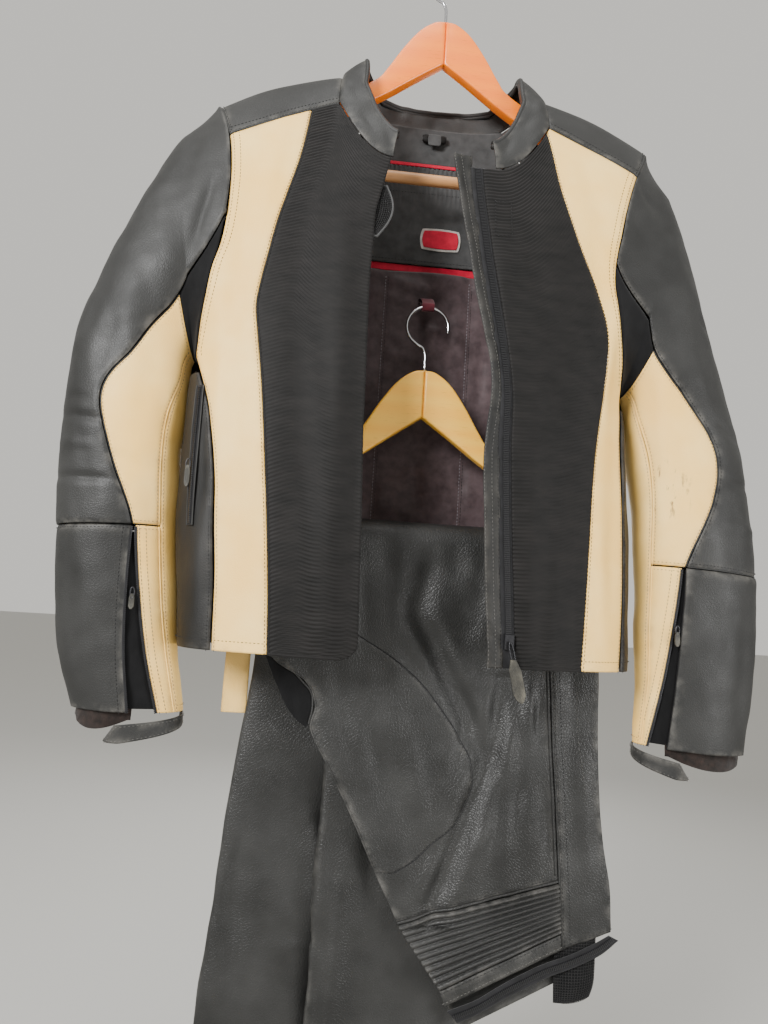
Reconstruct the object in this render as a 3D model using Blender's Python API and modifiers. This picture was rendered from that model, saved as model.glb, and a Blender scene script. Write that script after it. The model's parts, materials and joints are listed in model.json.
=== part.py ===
"""Motorcycle race suit on two wooden hangers: an open leather and textile jacket, and trousers folded over
the bar of a second hanger that hangs from a loop label inside the jacket's back.

Tables and shapes are in millimetres and become metres where a mesh is made. +Z is up, the front faces -Y,
and the origin is the inside of the upper hook's bend, where the suit hangs. Sides are the wearer's: right
is at -X and left at +X.
"""

from collections import namedtuple
from math import acos, ceil, cos, exp, pi, radians, sin, sqrt

import bmesh
import bpy
from mathutils import Vector

MM = 0.001
SIDES = (("right", -1), ("left", 1))

# Cloth
LEATHER = 1.8
TEXTILE = 1.4
LINING = 1.0
SEAM = 0.35  # half the gap between two pieces that are sewn together
YOKE_SEAM = 1.6  # gap at the yoke's back seam, whose two sides have different rows
LAYER = 0.8  # gap between a piece and the one that lies under it

# Hangers
WOOD = 13.0
BAR_RADIUS = 6.0
BAR_HALF = 185.0
BAR_DROP = 182.0  # from the top of the wood to the middle of the bar
WIRE_RADIUS = 1.75
HOOK_HEIGHT = 69.0  # from the top of the wood to the inside of the bend
HOOK_RADIUS = 22.0
UPPER_TOP = -HOOK_HEIGHT
LOWER_TOP = -457.0
LOWER_Y = 12.0

# Jacket
HEM = -750.0
BULGE = 3.0  # exponent of the body's rounded sections
SHOULDER_DROP = 90.0  # height over which the shoulder turns from its ridge to the upright front
NECK_SIDE = 106.0
NECK_FRONT = 52.0
NECK_BACK = 70.0
NECK_FRONT_Z = -264.0
NECK_BACK_Z = -164.0
YOKE_BACK_ANGLE = 60.0
SIDE_BACK_ANGLE = 38.0  # round the side, from its middle to the back seam
POCKET_INSET = 18.0
ZIP_HALF = 5.0
COLLAR_GAP = 1.2  # between the neckline and the foot of the collar
INNER_DEPTH = LEATHER + LAYER + LINING
NECK_DEPTH = INNER_DEPTH + 3.4  # the neck curves more between its points
PULL_TOP = 1.2  # how far a pull reaches above its pivot

# Trousers
FOLD_RADIUS = 23.0
LEG_END = -1200.0
OVER_BAR = 0.3  # share of a folded panel's length that lies over the bar

Width = namedtuple("Width", "z right left")
Depth = namedtuple("Depth", "z front back")
Section = namedtuple("Section", "place outer_x outer_z inner_x inner_z front back black piped zip_out zip_in")
Span = namedtuple("Span", "left_x left_z right_x right_z")
Leg = namedtuple("Leg", "z outer inner near far")
Fold = namedtuple("Fold", "z x")
Stand = namedtuple("Stand", "place inward up")

# Half widths of the rounded body sections. Above the underarm they reach past the armhole, which cuts them.
BODY_WIDTH = (
    Width(-190, 300, 285), Width(-254, 300, 285), Width(-320, 290, 265), Width(-394, 262, 238),
    Width(-446, 241, 212), Width(-480, 234.5, 201), Width(-520, 235.5, 205), Width(-600, 235, 211),
    Width(-650, 232.5, 212), Width(-700, 228, 211.5), Width(-750, 223, 211),
)
BODY_DEPTH = (
    Depth(-110, 40, 48), Depth(-200, 46, 51), Depth(-260, 54, 53), Depth(-350, 66, 55),
    Depth(-500, 78, 57), Depth(-620, 82, 58), Depth(-750, 82, 58),
)
# Seams of the fronts, as distances from the middle
ARMHOLE = (
    Width(-200, 231, 224), Width(-225, 222, 213), Width(-254, 213, 200), Width(-288, 208, 190),
    Width(-320, 207, 183), Width(-350, 208, 177), Width(-372, 211, 176), Width(-394, 217, 180),
    Width(-420, 221, 185), Width(-446, 225, 190), Width(-476, 228, 194),
)
SIDE_SEAM = (
    Width(-476, 228, 194), Width(-500, 218, 193), Width(-528, 208, 191), Width(-592, 196, 192),
    Width(-642, 192, 193), Width(-685, 188, 193), Width(-750, 185, 192),
)
CREAM_INNER = (
    Width(-205, 134, 104), Width(-240, 137, 111), Width(-275, 142, 118), Width(-310, 150, 128),
    Width(-345, 158, 140), Width(-380, 164, 155), Width(-410, 169, 166), Width(-432, 171, 169),
    Width(-460, 167, 168), Width(-490, 162, 165), Width(-525, 157, 160), Width(-575, 151, 155),
    Width(-640, 144, 152), Width(-690, 139, 150), Width(-750, 135, 147),
)
# Free edge of the right front, and the zip's line on the left front
FRONT_EDGE = (
    Width(-230, 51, 33), Width(-264, 53, 33), Width(-290, 58, 35), Width(-327, 65, 40),
    Width(-362, 66, 45), Width(-402, 67, 52), Width(-452, 66, 61), Width(-500, 65, 67),
    Width(-549, 64, 67), Width(-620, 61, 70), Width(-700, 58, 75), Width(-750, 56, 78),
)
FLAP_EDGE = (
    Fold(-255, 8), Fold(-290, 14), Fold(-317, 18), Fold(-352, 25), Fold(-392, 32), Fold(-429, 40),
    Fold(-470, 49), Fold(-502, 51), Fold(-531, 48), Fold(-563, 46), Fold(-622, 49), Fold(-688, 53),
    Fold(-735, 57),
)
# Stand collar: how far its top leans inwards and how high it is, from the front end to the middle back
COLLAR = (
    Stand("front end", 6, 29), Stand("front", 13, 33), Stand("front curve", 20, 33),
    Stand("yoke seam", 27, 29), Stand("shoulder front", 25, 23), Stand("shoulder", 22, 19),
    Stand("shoulder back", 10, 24), Stand("back quarter", -4, 27), Stand("back", -9, 29),
)

# Sleeves, armhole to cuff. Outer and inner points are where a section meets the sleeve's outline. The seams
# are shares of the way across the front, from the outer point to the inner one.
SLEEVE_RIGHT = (
    Section("armhole", 231, -200, 228, -476, 46, 42, 0.51, 0.99, 0.0, 0.0),
    Section("cap", 262, -238, 232, -472, 48, 44, 0.70, 0.99, 0.0, 0.0),
    Section("upper arm", 297, -310, 236, -474, 48, 44, 0.73, 0.98, 0.0, 0.0),
    Section("biceps", 330, -393, 237.5, -484, 47, 44, 0.66, 0.97, 0.0, 0.0),
    Section("above elbow", 345, -450, 237, -504, 46, 44, 0.56, 0.95, 0.0, 0.0),
    Section("elbow", 350, -510, 237, -533, 45, 44, 0.37, 0.90, 0.0, 0.0),
    Section("below elbow", 350, -574, 236.6, -574, 43, 42, 0.48, 0.88, 0.74, 0.70),
    Section("forearm seam", 348, -645, 234.2, -640, 40, 40, 0.69, 0.90, 0.695, 0.715),
    Section("forearm", 342, -700, 229.5, -700, 37, 38, 0.64, 0.91, 0.65, 0.735),
    Section("wrist", 333, -757, 223.5, -757, 33, 35, 0.60, 0.93, 0.61, 0.765),
    Section("cuff", 317, -812, 214, -812, 29, 31, 0.56, 0.95, 0.57, 0.80),
)
SLEEVE_LEFT = (
    Section("armhole", 224, -200, 194, -476, 46, 42, 0.55, 0.99, 0.0, 0.0),
    Section("cap", 250, -246, 201, -472, 48, 44, 0.68, 0.99, 0.0, 0.0),
    Section("upper arm", 275, -315, 207, -472, 48, 44, 0.74, 0.98, 0.0, 0.0),
    Section("biceps", 298, -400, 211, -480, 47, 44, 0.68, 0.97, 0.0, 0.0),
    Section("above elbow", 316, -462, 213, -500, 46, 44, 0.55, 0.95, 0.0, 0.0),
    Section("elbow", 334, -522, 216, -535, 45, 44, 0.38, 0.91, 0.0, 0.0),
    Section("below elbow", 345, -580, 222, -578, 43, 42, 0.46, 0.91, 0.70, 0.68),
    Section("forearm seam", 351, -652, 228, -645, 40, 40, 0.71, 0.94, 0.715, 0.735),
    Section("forearm", 351, -705, 230, -705, 37, 38, 0.73, 0.95, 0.74, 0.79),
    Section("wrist", 348, -765, 232, -762, 33, 35, 0.76, 0.96, 0.77, 0.86),
    Section("cuff", 342, -828, 229, -822, 29, 31, 0.78, 0.975, 0.79, 0.93),
)
FOREARM_ROW = 7
ROW_STEP = 2 / 3  # every piece of a sleeve has its cross lines at the same rows
SLEEVE_GIRTH = 80.0  # half of the least girth, to turn a gap into a share of a half turn
CUFF_ROW = 10
CREAM_TOP_ROW = {"right": 1.5, "left": 1.95}
BACK_SEAM = 0.65  # share across the back at which the cream under-sleeve meets the black one

# Trousers: cross lines of the folded front layer, its left edge to the piped side seam, and down the side
SEAT_SPANS = (
    Span(-138, -652, 122, -652), Span(-140, -700, 131, -700), Span(-136, -753, 136, -745),
    Span(-101, -777, 138, -775), Span(-90, -800, 139, -797), Span(-93, -821, 141, -822),
    Span(-75, -853, 143, -848), Span(-51, -895, 146, -882), Span(-26, -943, 149, -918),
    Span(0, -991, 151, -951),
)
RIB_SPANS = (Span(0, -992, 151, -952), Span(21, -1020, 153, -974), Span(42, -1047, 154, -996))
BAND_SPANS = (Span(42, -1048, 154, -997), Span(47, -1061, 155, -1011))
HIP_SPANS = (
    Span(123, -652, 156, -652), Span(132, -700, 176, -700), Span(137, -745, 186, -745),
    Span(142, -822, 187, -822), Span(144, -848, 188, -850), Span(147, -882, 191, -885),
    Span(150, -918, 196, -925), Span(152, -951, 201, -955), Span(156, -1012, 203, -994),
)
ZIP_SPANS = (
    Span(50, -1065, 60, -1075), Span(74, -1056, 80, -1066), Span(94, -1045, 99, -1055),
    Span(115, -1034, 120, -1045), Span(139, -1023, 143, -1034), Span(163, -1015, 168, -1025),
    Span(186, -1005, 193, -1014), Span(201, -997, 210, -1001),
)
CRESCENT_SPANS = (
    Span(-141, -752, -138, -754), Span(-131, -775, -119, -763.5), Span(-124, -788, -103, -778),
    Span(-117, -801, -94, -788), Span(-107, -813, -92, -802), Span(-97, -820, -94.5, -817),
)
CORE_SPANS = (
    Span(-132, -652, 148, -652), Span(-132, -745, 174, -745), Span(-84, -802, 176, -810),
    Span(-40, -905, 184, -900), Span(8, -985, 188, -960), Span(34, -1030, 168, -1000),
    Span(62, -1085, 158, -1040),
)
SEAT_EDGE = tuple(Fold(span.left_z, span.left_x) for span in SEAT_SPANS)
PATCH_EDGE = (
    Fold(-729, -57), Fold(-750, -20), Fold(-772, 9), Fold(-805, 38), Fold(-834, 58), Fold(-857, 65),
    Fold(-875, 64), Fold(-902, 51), Fold(-921, 29), Fold(-937, 11), Fold(-949, -9),
)
LEG_BACK = (
    Leg(-662, -148, -36, 26, 40), Leg(-782, -155, -50, 27, 44), Leg(-843, -162, -56, 26, 44),
    Leg(-953, -172, -58, 24, 43), Leg(-1099, -182, -60, 22, 42), Leg(LEG_END, -188, -66, 22, 41),
)
LEG_FRONT = (
    Leg(-662, -70, 110, 8, 24), Leg(-782, -72, 118, 6, 24), Leg(-863, -74, 116, 5, 23),
    Leg(-953, -75, 100, 3, 21), Leg(-1099, -79, 66, 2, 20), Leg(LEG_END, -82, 48, 2, 20),
)
DRAPE_FOLDS = (
    (Fold(-650, 17), Fold(-705, 4), Fold(-729, 16), Fold(-756, 31), Fold(-797, 55), Fold(-840, 74)),
    (Fold(-780, 92), Fold(-822, 86), Fold(-853, 77), Fold(-889, 63), Fold(-935, 48), Fold(-975, 32)),
)
FOLD_DEPTH = 5.0
FOLD_WIDTH = 13.0
RIBS = 11
RIB_DEPTH = 2.2

# Outline of half a hanger's wood: along its top to the shoulder's end, then back along its underside
WOOD_EDGE = (
    Fold(0, 0), Fold(-2, 12), Fold(-14, 28), Fold(-37, 45), Fold(-62, 60), Fold(-77, 72), Fold(-99, 108),
    Fold(-121, 150), Fold(-139, 186), Fold(-152, 204), Fold(-191, 199), Fold(-191, 186), Fold(-170, 186),
    Fold(-150, 150), Fold(-123, 108), Fold(-97, 66), Fold(-71, 30), Fold(-50, 0),
)

# name: colour, roughness, metallic
FINISHES = {
    "black_leather": ((0.075, 0.078, 0.082), 0.42, 0.0),
    "cream_leather": ((0.82, 0.68, 0.46), 0.5, 0.0),
    "ribbed_textile": ((0.035, 0.032, 0.032), 0.75, 0.0),
    "stretch_knit": ((0.012, 0.013, 0.016), 0.85, 0.0),
    "satin_lining": ((0.035, 0.022, 0.03), 0.4, 0.0),
    "grey_facing": ((0.06, 0.06, 0.062), 0.8, 0.0),
    "red_trim": ((0.6, 0.02, 0.05), 0.55, 0.0),
    "maroon_label": ((0.12, 0.01, 0.02), 0.6, 0.0),
    "net_mesh": ((0.03, 0.03, 0.032), 0.8, 0.0),
    "orange_wood": ((0.75, 0.3, 0.07), 0.3, 0.0),
    "pale_wood": ((0.85, 0.58, 0.28), 0.35, 0.0),
    "dowel": ((0.6, 0.34, 0.2), 0.5, 0.0),
    "chrome": ((0.75, 0.75, 0.76), 0.12, 1.0),
    "gunmetal": ((0.2, 0.2, 0.2), 0.35, 1.0),
    "zip_tape": ((0.02, 0.02, 0.02), 0.6, 0.0),
}


# ---------------------------------------------------------------- scene and meshes

def clear_scene():
    for thing in list(bpy.data.objects):
        bpy.data.objects.remove(thing)


def finish_of(name):
    """The material of that name, made once."""
    found = bpy.data.materials.get(name)
    if found:
        return found
    colour, roughness, metallic = FINISHES[name]
    made = bpy.data.materials.new(name)
    made.use_nodes = True
    shader = made.node_tree.nodes["Principled BSDF"]
    shader.inputs["Base Color"].default_value = (*colour, 1)
    shader.inputs["Roughness"].default_value = roughness
    shader.inputs["Metallic"].default_value = metallic
    return made


def add_object(name, data, finish):
    thing = bpy.data.objects.new(name, data)
    data.materials.append(finish_of(finish))
    suit.objects.link(thing)
    return thing


def mesh_of(name, points, faces):
    mesh = bpy.data.meshes.new(name)
    mesh.from_pydata([Vector(p) * MM for p in points], [], faces)
    mesh.validate()
    return mesh


def steps(start, end, count):
    """count + 1 evenly spaced values."""
    return [start + (end - start) * i / count for i in range(count + 1)]


def sheet(name, across, down, point, thickness, finish, inside):
    """A cloth wall: a grid of quads through point(u, v), thickened towards the inside point.

    down is a number of even rows, or the list of the rows' places from 0 to 1.
    """
    us = steps(0, 1, across)
    vs = steps(0, 1, down) if isinstance(down, int) else down
    down = len(vs) - 1
    points = [Vector(point(u, v)) for v in vs for u in us]
    row = across + 1
    faces = [
        (j * row + i, j * row + i + 1, (j + 1) * row + i + 1, (j + 1) * row + i)
        for j in range(down)
        for i in range(across)
    ]
    mesh = mesh_of(name, points, faces)
    middle = mesh.polygons[len(faces) // 2]
    if middle.normal.dot(middle.center - Vector(inside) * MM) < 0:
        mesh.flip_normals()
    thing = add_object(name, mesh, finish)
    wall = thing.modifiers.new("cloth thickness", "SOLIDIFY")
    wall.thickness = thickness * MM
    wall.offset = -1
    return thing


def block(name, low, high, finish, round_off=0.0):
    """A box between two corners, with its edges rounded off if asked."""
    low, high = Vector(low) * MM, Vector(high) * MM
    bpy.ops.mesh.primitive_cube_add(size=1)
    thing = bpy.context.object
    thing.name = name
    for corner in thing.data.vertices:
        corner.co = [(low[i] + high[i]) / 2 + corner.co[i] * (high[i] - low[i]) for i in range(3)]
    thing.data.materials.append(finish_of(finish))
    for home in list(thing.users_collection):
        home.objects.unlink(thing)
    suit.objects.link(thing)
    if round_off:
        edges = thing.modifiers.new("rounded edges", "BEVEL")
        edges.width = round_off * MM
        edges.segments = 1
    return thing


def wire(name, route, radius, finish, resolution=2):
    """A round wire or rod along the route, with filled ends."""
    curve = bpy.data.curves.new(name, "CURVE")
    curve.dimensions = "3D"
    curve.bevel_depth = radius * MM
    curve.bevel_resolution = resolution
    curve.use_fill_caps = True
    line = curve.splines.new("POLY")
    line.points.add(len(route) - 1)
    for point, place in zip(line.points, route):
        point.co = (*(Vector(place) * MM), 1)
    return add_object(name, curve, finish)


def plate(name, outline, y, thickness, finish, round_off):
    """A flat board in the XZ plane with rounded edges, from its outline."""
    curve = bpy.data.curves.new(name, "CURVE")
    curve.dimensions = "2D"
    curve.fill_mode = "BOTH"
    curve.extrude = thickness / 2 * MM
    line = curve.splines.new("POLY")
    line.use_cyclic_u = True
    line.points.add(len(outline) - 1)
    for point, (x, z) in zip(line.points, outline):
        point.co = (x * MM, z * MM, 0, 1)
    guide = bpy.data.objects.new(name, curve)
    suit.objects.link(guide)
    guide.rotation_euler = (radians(90), 0, 0)
    guide.location = (0, y * MM, 0)
    bpy.context.view_layer.update()
    mesh = bpy.data.meshes.new_from_object(guide.evaluated_get(bpy.context.evaluated_depsgraph_get()))
    mesh.transform(guide.matrix_world)
    bpy.data.objects.remove(guide)
    board = bmesh.new()
    board.from_mesh(mesh)
    bmesh.ops.remove_doubles(board, verts=board.verts, dist=0.01 * MM)
    bmesh.ops.dissolve_limit(board, angle_limit=radians(1), verts=board.verts, edges=board.edges)
    bmesh.ops.recalc_face_normals(board, faces=board.faces)
    board.to_mesh(mesh)
    board.free()
    thing = add_object(name, mesh, finish)
    edges = thing.modifiers.new("rounded edges", "BEVEL")
    edges.width = round_off * MM
    edges.segments = 2
    edges.limit_method = "ANGLE"
    edges.angle_limit = radians(50)
    return thing


# ---------------------------------------------------------------- reading the tables

def blend(a, b, share):
    return a + (b - a) * share


def read(table, column, z):
    """A column's value at height z: a smooth curve through the rows, level past both ends."""
    rows = sorted(table, key=lambda row: -row.z)
    if z >= rows[0].z:
        return getattr(rows[0], column)
    if z <= rows[-1].z:
        return getattr(rows[-1], column)
    k = next(i for i in range(len(rows) - 1) if rows[i + 1].z <= z)
    return curve_between([row.z for row in rows], [getattr(row, column) for row in rows], k, z)


def curve_between(places, values, k, place):
    """A cubic between values k and k + 1, with its slopes from their neighbours."""

    def slope(i):
        low, high = max(i - 1, 0), min(i + 1, len(places) - 1)
        return (values[high] - values[low]) / (places[high] - places[low])

    width = places[k + 1] - places[k]
    t = (place - places[k]) / width
    start, end = values[k], values[k + 1]
    return (
        (2 * t**3 - 3 * t**2 + 1) * start
        + (t**3 - 2 * t**2 + t) * width * slope(k)
        + (3 * t**2 - 2 * t**3) * end
        + (t**3 - t**2) * width * slope(k + 1)
    )


def along(rows, column, place):
    """A column's value part of the way down numbered rows, such as row 2.5."""
    values = [getattr(row, column) for row in rows]
    k = min(int(place), len(values) - 2)
    return curve_between(list(range(len(values))), values, k, place)


# ---------------------------------------------------------------- the jacket's body

def ridge(x):
    """Height of the shoulder's ridge. Inside the neck it rises steeply, so that the neck stays upright."""
    past = abs(x) - NECK_SIDE
    if past < 0:
        return -151 - 0.9 * past
    return -151 - 0.2 * past - 0.0016 * past**2


def body(x, z, face, side, out=0.0):
    """A point on the body's front (face -1) or back (face 1), moved out from the cloth's face."""
    width = read(BODY_WIDTH, side, z)
    depth = read(BODY_DEPTH, "front" if face < 0 else "back", z)
    across = max(0.0, 1 - min(1.0, abs(x) / width) ** BULGE) ** (1 / BULGE)
    dropped = min(1.0, max(0.0, (ridge(x) - z) / SHOULDER_DROP))
    turned = sqrt(max(0.0, 1 - (1 - dropped) ** 2))
    return Vector((x, face * (depth * across * turned + out), z))


def side_angle(x, z, side):
    """The angle round the body's section at which it is |x| from the middle: 0 at the side."""
    width = read(BODY_WIDTH, side, z)
    return acos(min(1.0, (abs(x) / width) ** (BULGE / 2)))


def side_point(angle, z, side, sign, out=0.0):
    """A point round the side of the body's section. Angles over 0 are on the front."""
    width = read(BODY_WIDTH, side, z) + out
    depth = read(BODY_DEPTH, "front" if angle > 0 else "back", z) + out
    x = width * cos(angle) ** (2 / BULGE)
    y = depth * abs(sin(angle)) ** (2 / BULGE)
    return Vector((sign * x, -y if angle > 0 else y, z))


def neck_front(x):
    """Height of the front neckline."""
    return NECK_FRONT_Z + 60 * (max(0, abs(x) - NECK_FRONT) / (NECK_SIDE + 2 - NECK_FRONT)) ** 2


def yoke_front(x):
    """Height of the seam between the shoulder yoke and the fronts."""
    return -203 - 0.45 * (abs(x) - NECK_SIDE - 2)


def yoke_back(x):
    """Height of the seam between the shoulder yoke and the back."""
    if abs(x) < NECK_BACK:
        return NECK_BACK_Z
    return ridge(x) - SHOULDER_DROP * (1 - cos(radians(YOKE_BACK_ANGLE)))


def front_top(x):
    return neck_front(x) if abs(x) < NECK_SIDE + 2 else yoke_front(x)


def cream_outer(z, side):
    return read(ARMHOLE if z > ARMHOLE[-1].z else SIDE_SEAM, side, z)


def front_panel(name, side, sign, near, far, across, down, thickness, finish, out=0.0, top=front_top):
    """A strip of the front between two borders near(z) and far(z), from its top seam to the hem."""

    def point(u, v):
        z_top = -230
        for _ in range(6):
            z_top = top(blend(near(z_top) + SEAM, far(z_top) - SEAM, u)) - SEAM
        z = blend(z_top, HEM, v)
        return body(sign * blend(near(z) + SEAM, far(z) - SEAM, u), z, -1, side, out)

    return sheet(name, across, down, point, thickness, finish, (0, 0, -450))


def zip_line(z):
    return read(FRONT_EDGE, "left", z)


def build_fronts():
    for side, sign in SIDES:
        zipped = ZIP_HALF if sign > 0 else 0
        inner = lambda z, side=side, zipped=zipped: read(FRONT_EDGE, side, z) + zipped
        border = lambda z, side=side: read(CREAM_INNER, side, z)
        seam = lambda z, side=side: cream_outer(z, side)
        textile, cream = f"jacket_textile_front_{side}", f"jacket_cream_front_{side}"
        front_panel(textile, side, sign, inner, border, 5, 14, TEXTILE, "ribbed_textile")
        front_panel(cream, side, sign, border, seam, 4, 14, LEATHER, "cream_leather")


def build_zip_front():
    """The flap, tape, slider and pull of the front zip, all on the left front's own surface."""
    front_panel(
        "jacket_zip_tape", "left", 1, lambda z: zip_line(z) - ZIP_HALF, lambda z: zip_line(z) + ZIP_HALF,
        1, 14, TEXTILE, "zip_tape",
    )
    front_panel(
        "jacket_zip_flap", "left", 1, lambda z: read(FLAP_EDGE, "x", z), lambda z: zip_line(z) - ZIP_HALF,
        3, 14, LEATHER, "black_leather", top=lambda x: -252,
    )
    x, y, z = body(zip_line(-727), -727, -1, "left")
    block("front_zip_slider", (x - 4.5, y - 4.6, z - 7), (x + 4.5, y - 0.4, z + 7), "gunmetal", 0.8)
    build_pull("front_zip_pull", Vector((x, y - 6.4, z - 1)), 17, 35, 11, 12)


def build_pull(name, pivot, metal, tab, tab_width, lean):
    """A zip pull that hangs from its pivot: a narrow puller that widens into its tab, in one piece."""
    half, thick = 2.2, 1.0
    edge = [(half, PULL_TOP), (half, -metal), (tab_width / 2, -metal - 3), (tab_width / 2, -metal - tab)]
    outline = [(-x, z) for x, z in edge[::-1]] + edge
    shape = [(x + lean * max(0, -z) / (metal + tab), z) for x, z in outline]
    corners = [(x, -thick, z) for x, z in shape] + [(x, thick, z) for x, z in shape]
    count = len(shape)
    faces = [tuple(range(count)), tuple(range(2 * count - 1, count - 1, -1))]
    faces += [(i + count, (i + 1) % count + count, (i + 1) % count, i) for i in range(count)]
    mesh = mesh_of(name, corners, faces)
    check = bmesh.new()
    check.from_mesh(mesh)
    bmesh.ops.recalc_face_normals(check, faces=check.faces)
    check.to_mesh(mesh)
    check.free()
    thing = add_object(name, mesh, "gunmetal")
    thing.location = pivot * MM
    return thing


def build_sides():
    for side, sign in SIDES:

        def point(u, v, side=side, sign=sign):
            z = blend(SIDE_SEAM[0].z - 18, HEM, v)
            start = side_angle(cream_outer(z, side) + SEAM, z, side)
            edge = sin(start) if start > 0.02 else 0.02
            front = max(0.05, start - 2 * SEAM / (80 * edge))
            return side_point(blend(front, -radians(SIDE_BACK_ANGLE), u), z, side, sign)

        sheet(f"jacket_side_{side}", 7, 8, point, LEATHER, "black_leather", (0, 0, -600))


def back_half(z, side):
    """How far the back panel reaches: to the armhole, then to the side panel."""
    armhole = read(ARMHOLE, side, z)
    turned = read(BODY_WIDTH, side, z) * cos(radians(SIDE_BACK_ANGLE)) ** (2 / BULGE) - 1.5
    share = min(1.0, max(0.0, (-470 - z) / 14))
    return blend(armhole - SEAM, turned, share)


def build_back():
    def point(u, v):
        share = 2 * u - 1
        side = "left" if share > 0 else "right"
        z_top = -230
        for _ in range(6):
            z_top = yoke_back(abs(share) * back_half(z_top, side)) - YOKE_SEAM
        z = blend(z_top, HEM, v)
        return body(share * back_half(z, side), z, 1, side)

    sheet("jacket_back", 14, 12, point, LEATHER, "black_leather", (0, 0, -450))


def yoke_neck(angle):
    """The yoke's edge at the neck: its distance from the middle at an angle over the shoulder."""
    if angle < 0:
        return NECK_SIDE + 2 * -angle / 60
    return blend(NECK_SIDE, NECK_BACK, (angle / YOKE_BACK_ANGLE) ** 1.6)


def yoke_point(x, angle, side, out=0.0):
    z = ridge(x) - SHOULDER_DROP * (1 - cos(radians(angle)))
    face = -1 if angle < 0 else 1
    flat = body(x, z, face, side)
    return Vector((x, flat.y + face * out * abs(sin(radians(angle))), z + out * cos(radians(angle))))


def front_seam_angle(x):
    """How far over the shoulder the front seam lies, as an angle below 0."""
    dropped = min(0.99, (ridge(x) - yoke_front(x) - SEAM) / SHOULDER_DROP)
    return -acos(1 - dropped) * 180 / pi


def build_yokes():
    for side, sign in SIDES:

        def point(u, v, side=side, sign=sign):
            x = 160.0
            for _ in range(8):
                angle = blend(front_seam_angle(x), YOKE_BACK_ANGLE, v)
                z = ridge(x) - SHOULDER_DROP * (1 - cos(radians(angle)))
                x = blend(yoke_neck(angle) + SEAM, read(ARMHOLE, side, z) - SEAM, u)
            return yoke_point(sign * x, angle, side)

        sheet(f"jacket_yoke_{side}", 6, 8, point, LEATHER, "black_leather", (sign * 150, 0, -300))


# ---------------------------------------------------------------- collar and the inside of the back

def collar_base(place):
    """The neckline from the front end (0) over the shoulder to the middle of the back (8)."""
    if place <= 3:
        x = blend(NECK_FRONT, NECK_SIDE + 2, place / 3)
        return body(x, neck_front(x), -1, "right")
    if place <= 6:
        x = NECK_SIDE + 2
        angle = blend(front_seam_angle(x), YOKE_BACK_ANGLE, (place - 3) / 3)
        return yoke_point(yoke_neck(angle), angle, "right")
    x = blend(NECK_BACK, 0, (place - 6) / 2)
    return body(x, NECK_BACK_Z, 1, "right")


def build_collar():
    def point(u, v):
        place = abs(2 * u - 1)
        sign = 1 if u > 0.5 else -1
        row = 8 * (1 - place)
        base = collar_base(row)
        inward = Vector((-base.x, -base.y, 0)).normalized()
        up = COLLAR_GAP + v * along(COLLAR, "up", row)
        lean = v**1.3 * along(COLLAR, "inward", row) + 0.6 * (1 - v)
        top = base + inward * lean + Vector((0, 0, up))
        return Vector((sign * top.x, top.y, top.z))

    sheet("jacket_collar", 26, 3, point, LEATHER, "black_leather", (0, 0, -200))


def inner_layer(name, z_top, z_bottom, half, depth, across, down, finish, thickness=LINING):
    """A piece on the inside of the back, moved in from the back panel's own points."""

    def point(u, v):
        z = blend(z_top, z_bottom, v)
        x = (2 * u - 1) * half(z)
        return body(x, z, 1, "left" if x > 0 else "right", -depth)

    return sheet(name, across, down, point, thickness, finish, (0, 400, z_bottom))


def build_inside():
    """The inner pieces of the back, from the neck down. Each is thickened towards the back panel."""
    inner_layer("jacket_neck_facing", -172, -205, lambda z: 80, NECK_DEPTH, 8, 2, "grey_facing")
    inner_layer("jacket_neck_piping", -205.6, -209, lambda z: 80, NECK_DEPTH + 1, 8, 1, "red_trim", 2.0)
    inner_layer("jacket_back_facing", -209.6, -323, lambda z: 115, NECK_DEPTH, 8, 5, "grey_facing")
    stripe_depth = INNER_DEPTH + 1
    inner_layer("jacket_lining_stripe", -323.6, -331.6, lambda z: 140, stripe_depth, 10, 1, "red_trim", 1.4)
    inner_layer("jacket_lining", -332.2, -738, lambda z: 146, INNER_DEPTH + 0.5, 10, 7, "satin_lining")


def build_small_trim():
    at = body(0, -176, 1, "right", -NECK_DEPTH - 0.5)
    block("jacket_hang_loop", (-14, at.y - 6, -182), (14, at.y, -172), "ribbed_textile", 1.5)

    def flap(u, v):
        z = blend(-296, -352, v)
        edge = read(FRONT_EDGE, "right", z)
        bulge = 12 * sin(pi * v)
        return body(-blend(edge + 16, edge - 3 - bulge, u), z, -1, "right", -TEXTILE - LAYER)

    sheet("jacket_mesh_flap", 4, 6, flap, LINING, "net_mesh", (0, 0, -320))


def build_label():
    """The loop label that the lower hook hangs in: from the lining, round the hook's wire and back."""
    bottom = LOWER_TOP + HOOK_HEIGHT - 0.8
    back = body(0, -366, 1, "right", -INNER_DEPTH - 1.4).y
    wire_z = LOWER_TOP + HOOK_HEIGHT + WIRE_RADIUS
    path = [(back, -361), (LOWER_Y + 14, -371), (LOWER_Y - 1, wire_z + 5), (LOWER_Y - 3.6, wire_z + 1)]
    path += [(LOWER_Y - 2.6, bottom - 1.4), (LOWER_Y, bottom - 2), (LOWER_Y + 2.8, bottom - 1.2)]
    path += [(LOWER_Y + 4.2, wire_z), (LOWER_Y + 16, -376), (back, -365.5)]

    def point(u, v):
        share = v * (len(path) - 1)
        k = min(int(share), len(path) - 2)
        y = blend(path[k][0], path[k + 1][0], share - k)
        z = blend(path[k][1], path[k + 1][1], share - k)
        return (blend(-6.5, 6.5, u), y, z)

    sheet("jacket_hook_label", 1, len(path) - 1, point, 0.7, "maroon_label", (0, LOWER_Y + 8, -378))


# ---------------------------------------------------------------- sleeves

def sleeve_table(side):
    return SLEEVE_RIGHT if side == "right" else SLEEVE_LEFT


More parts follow.
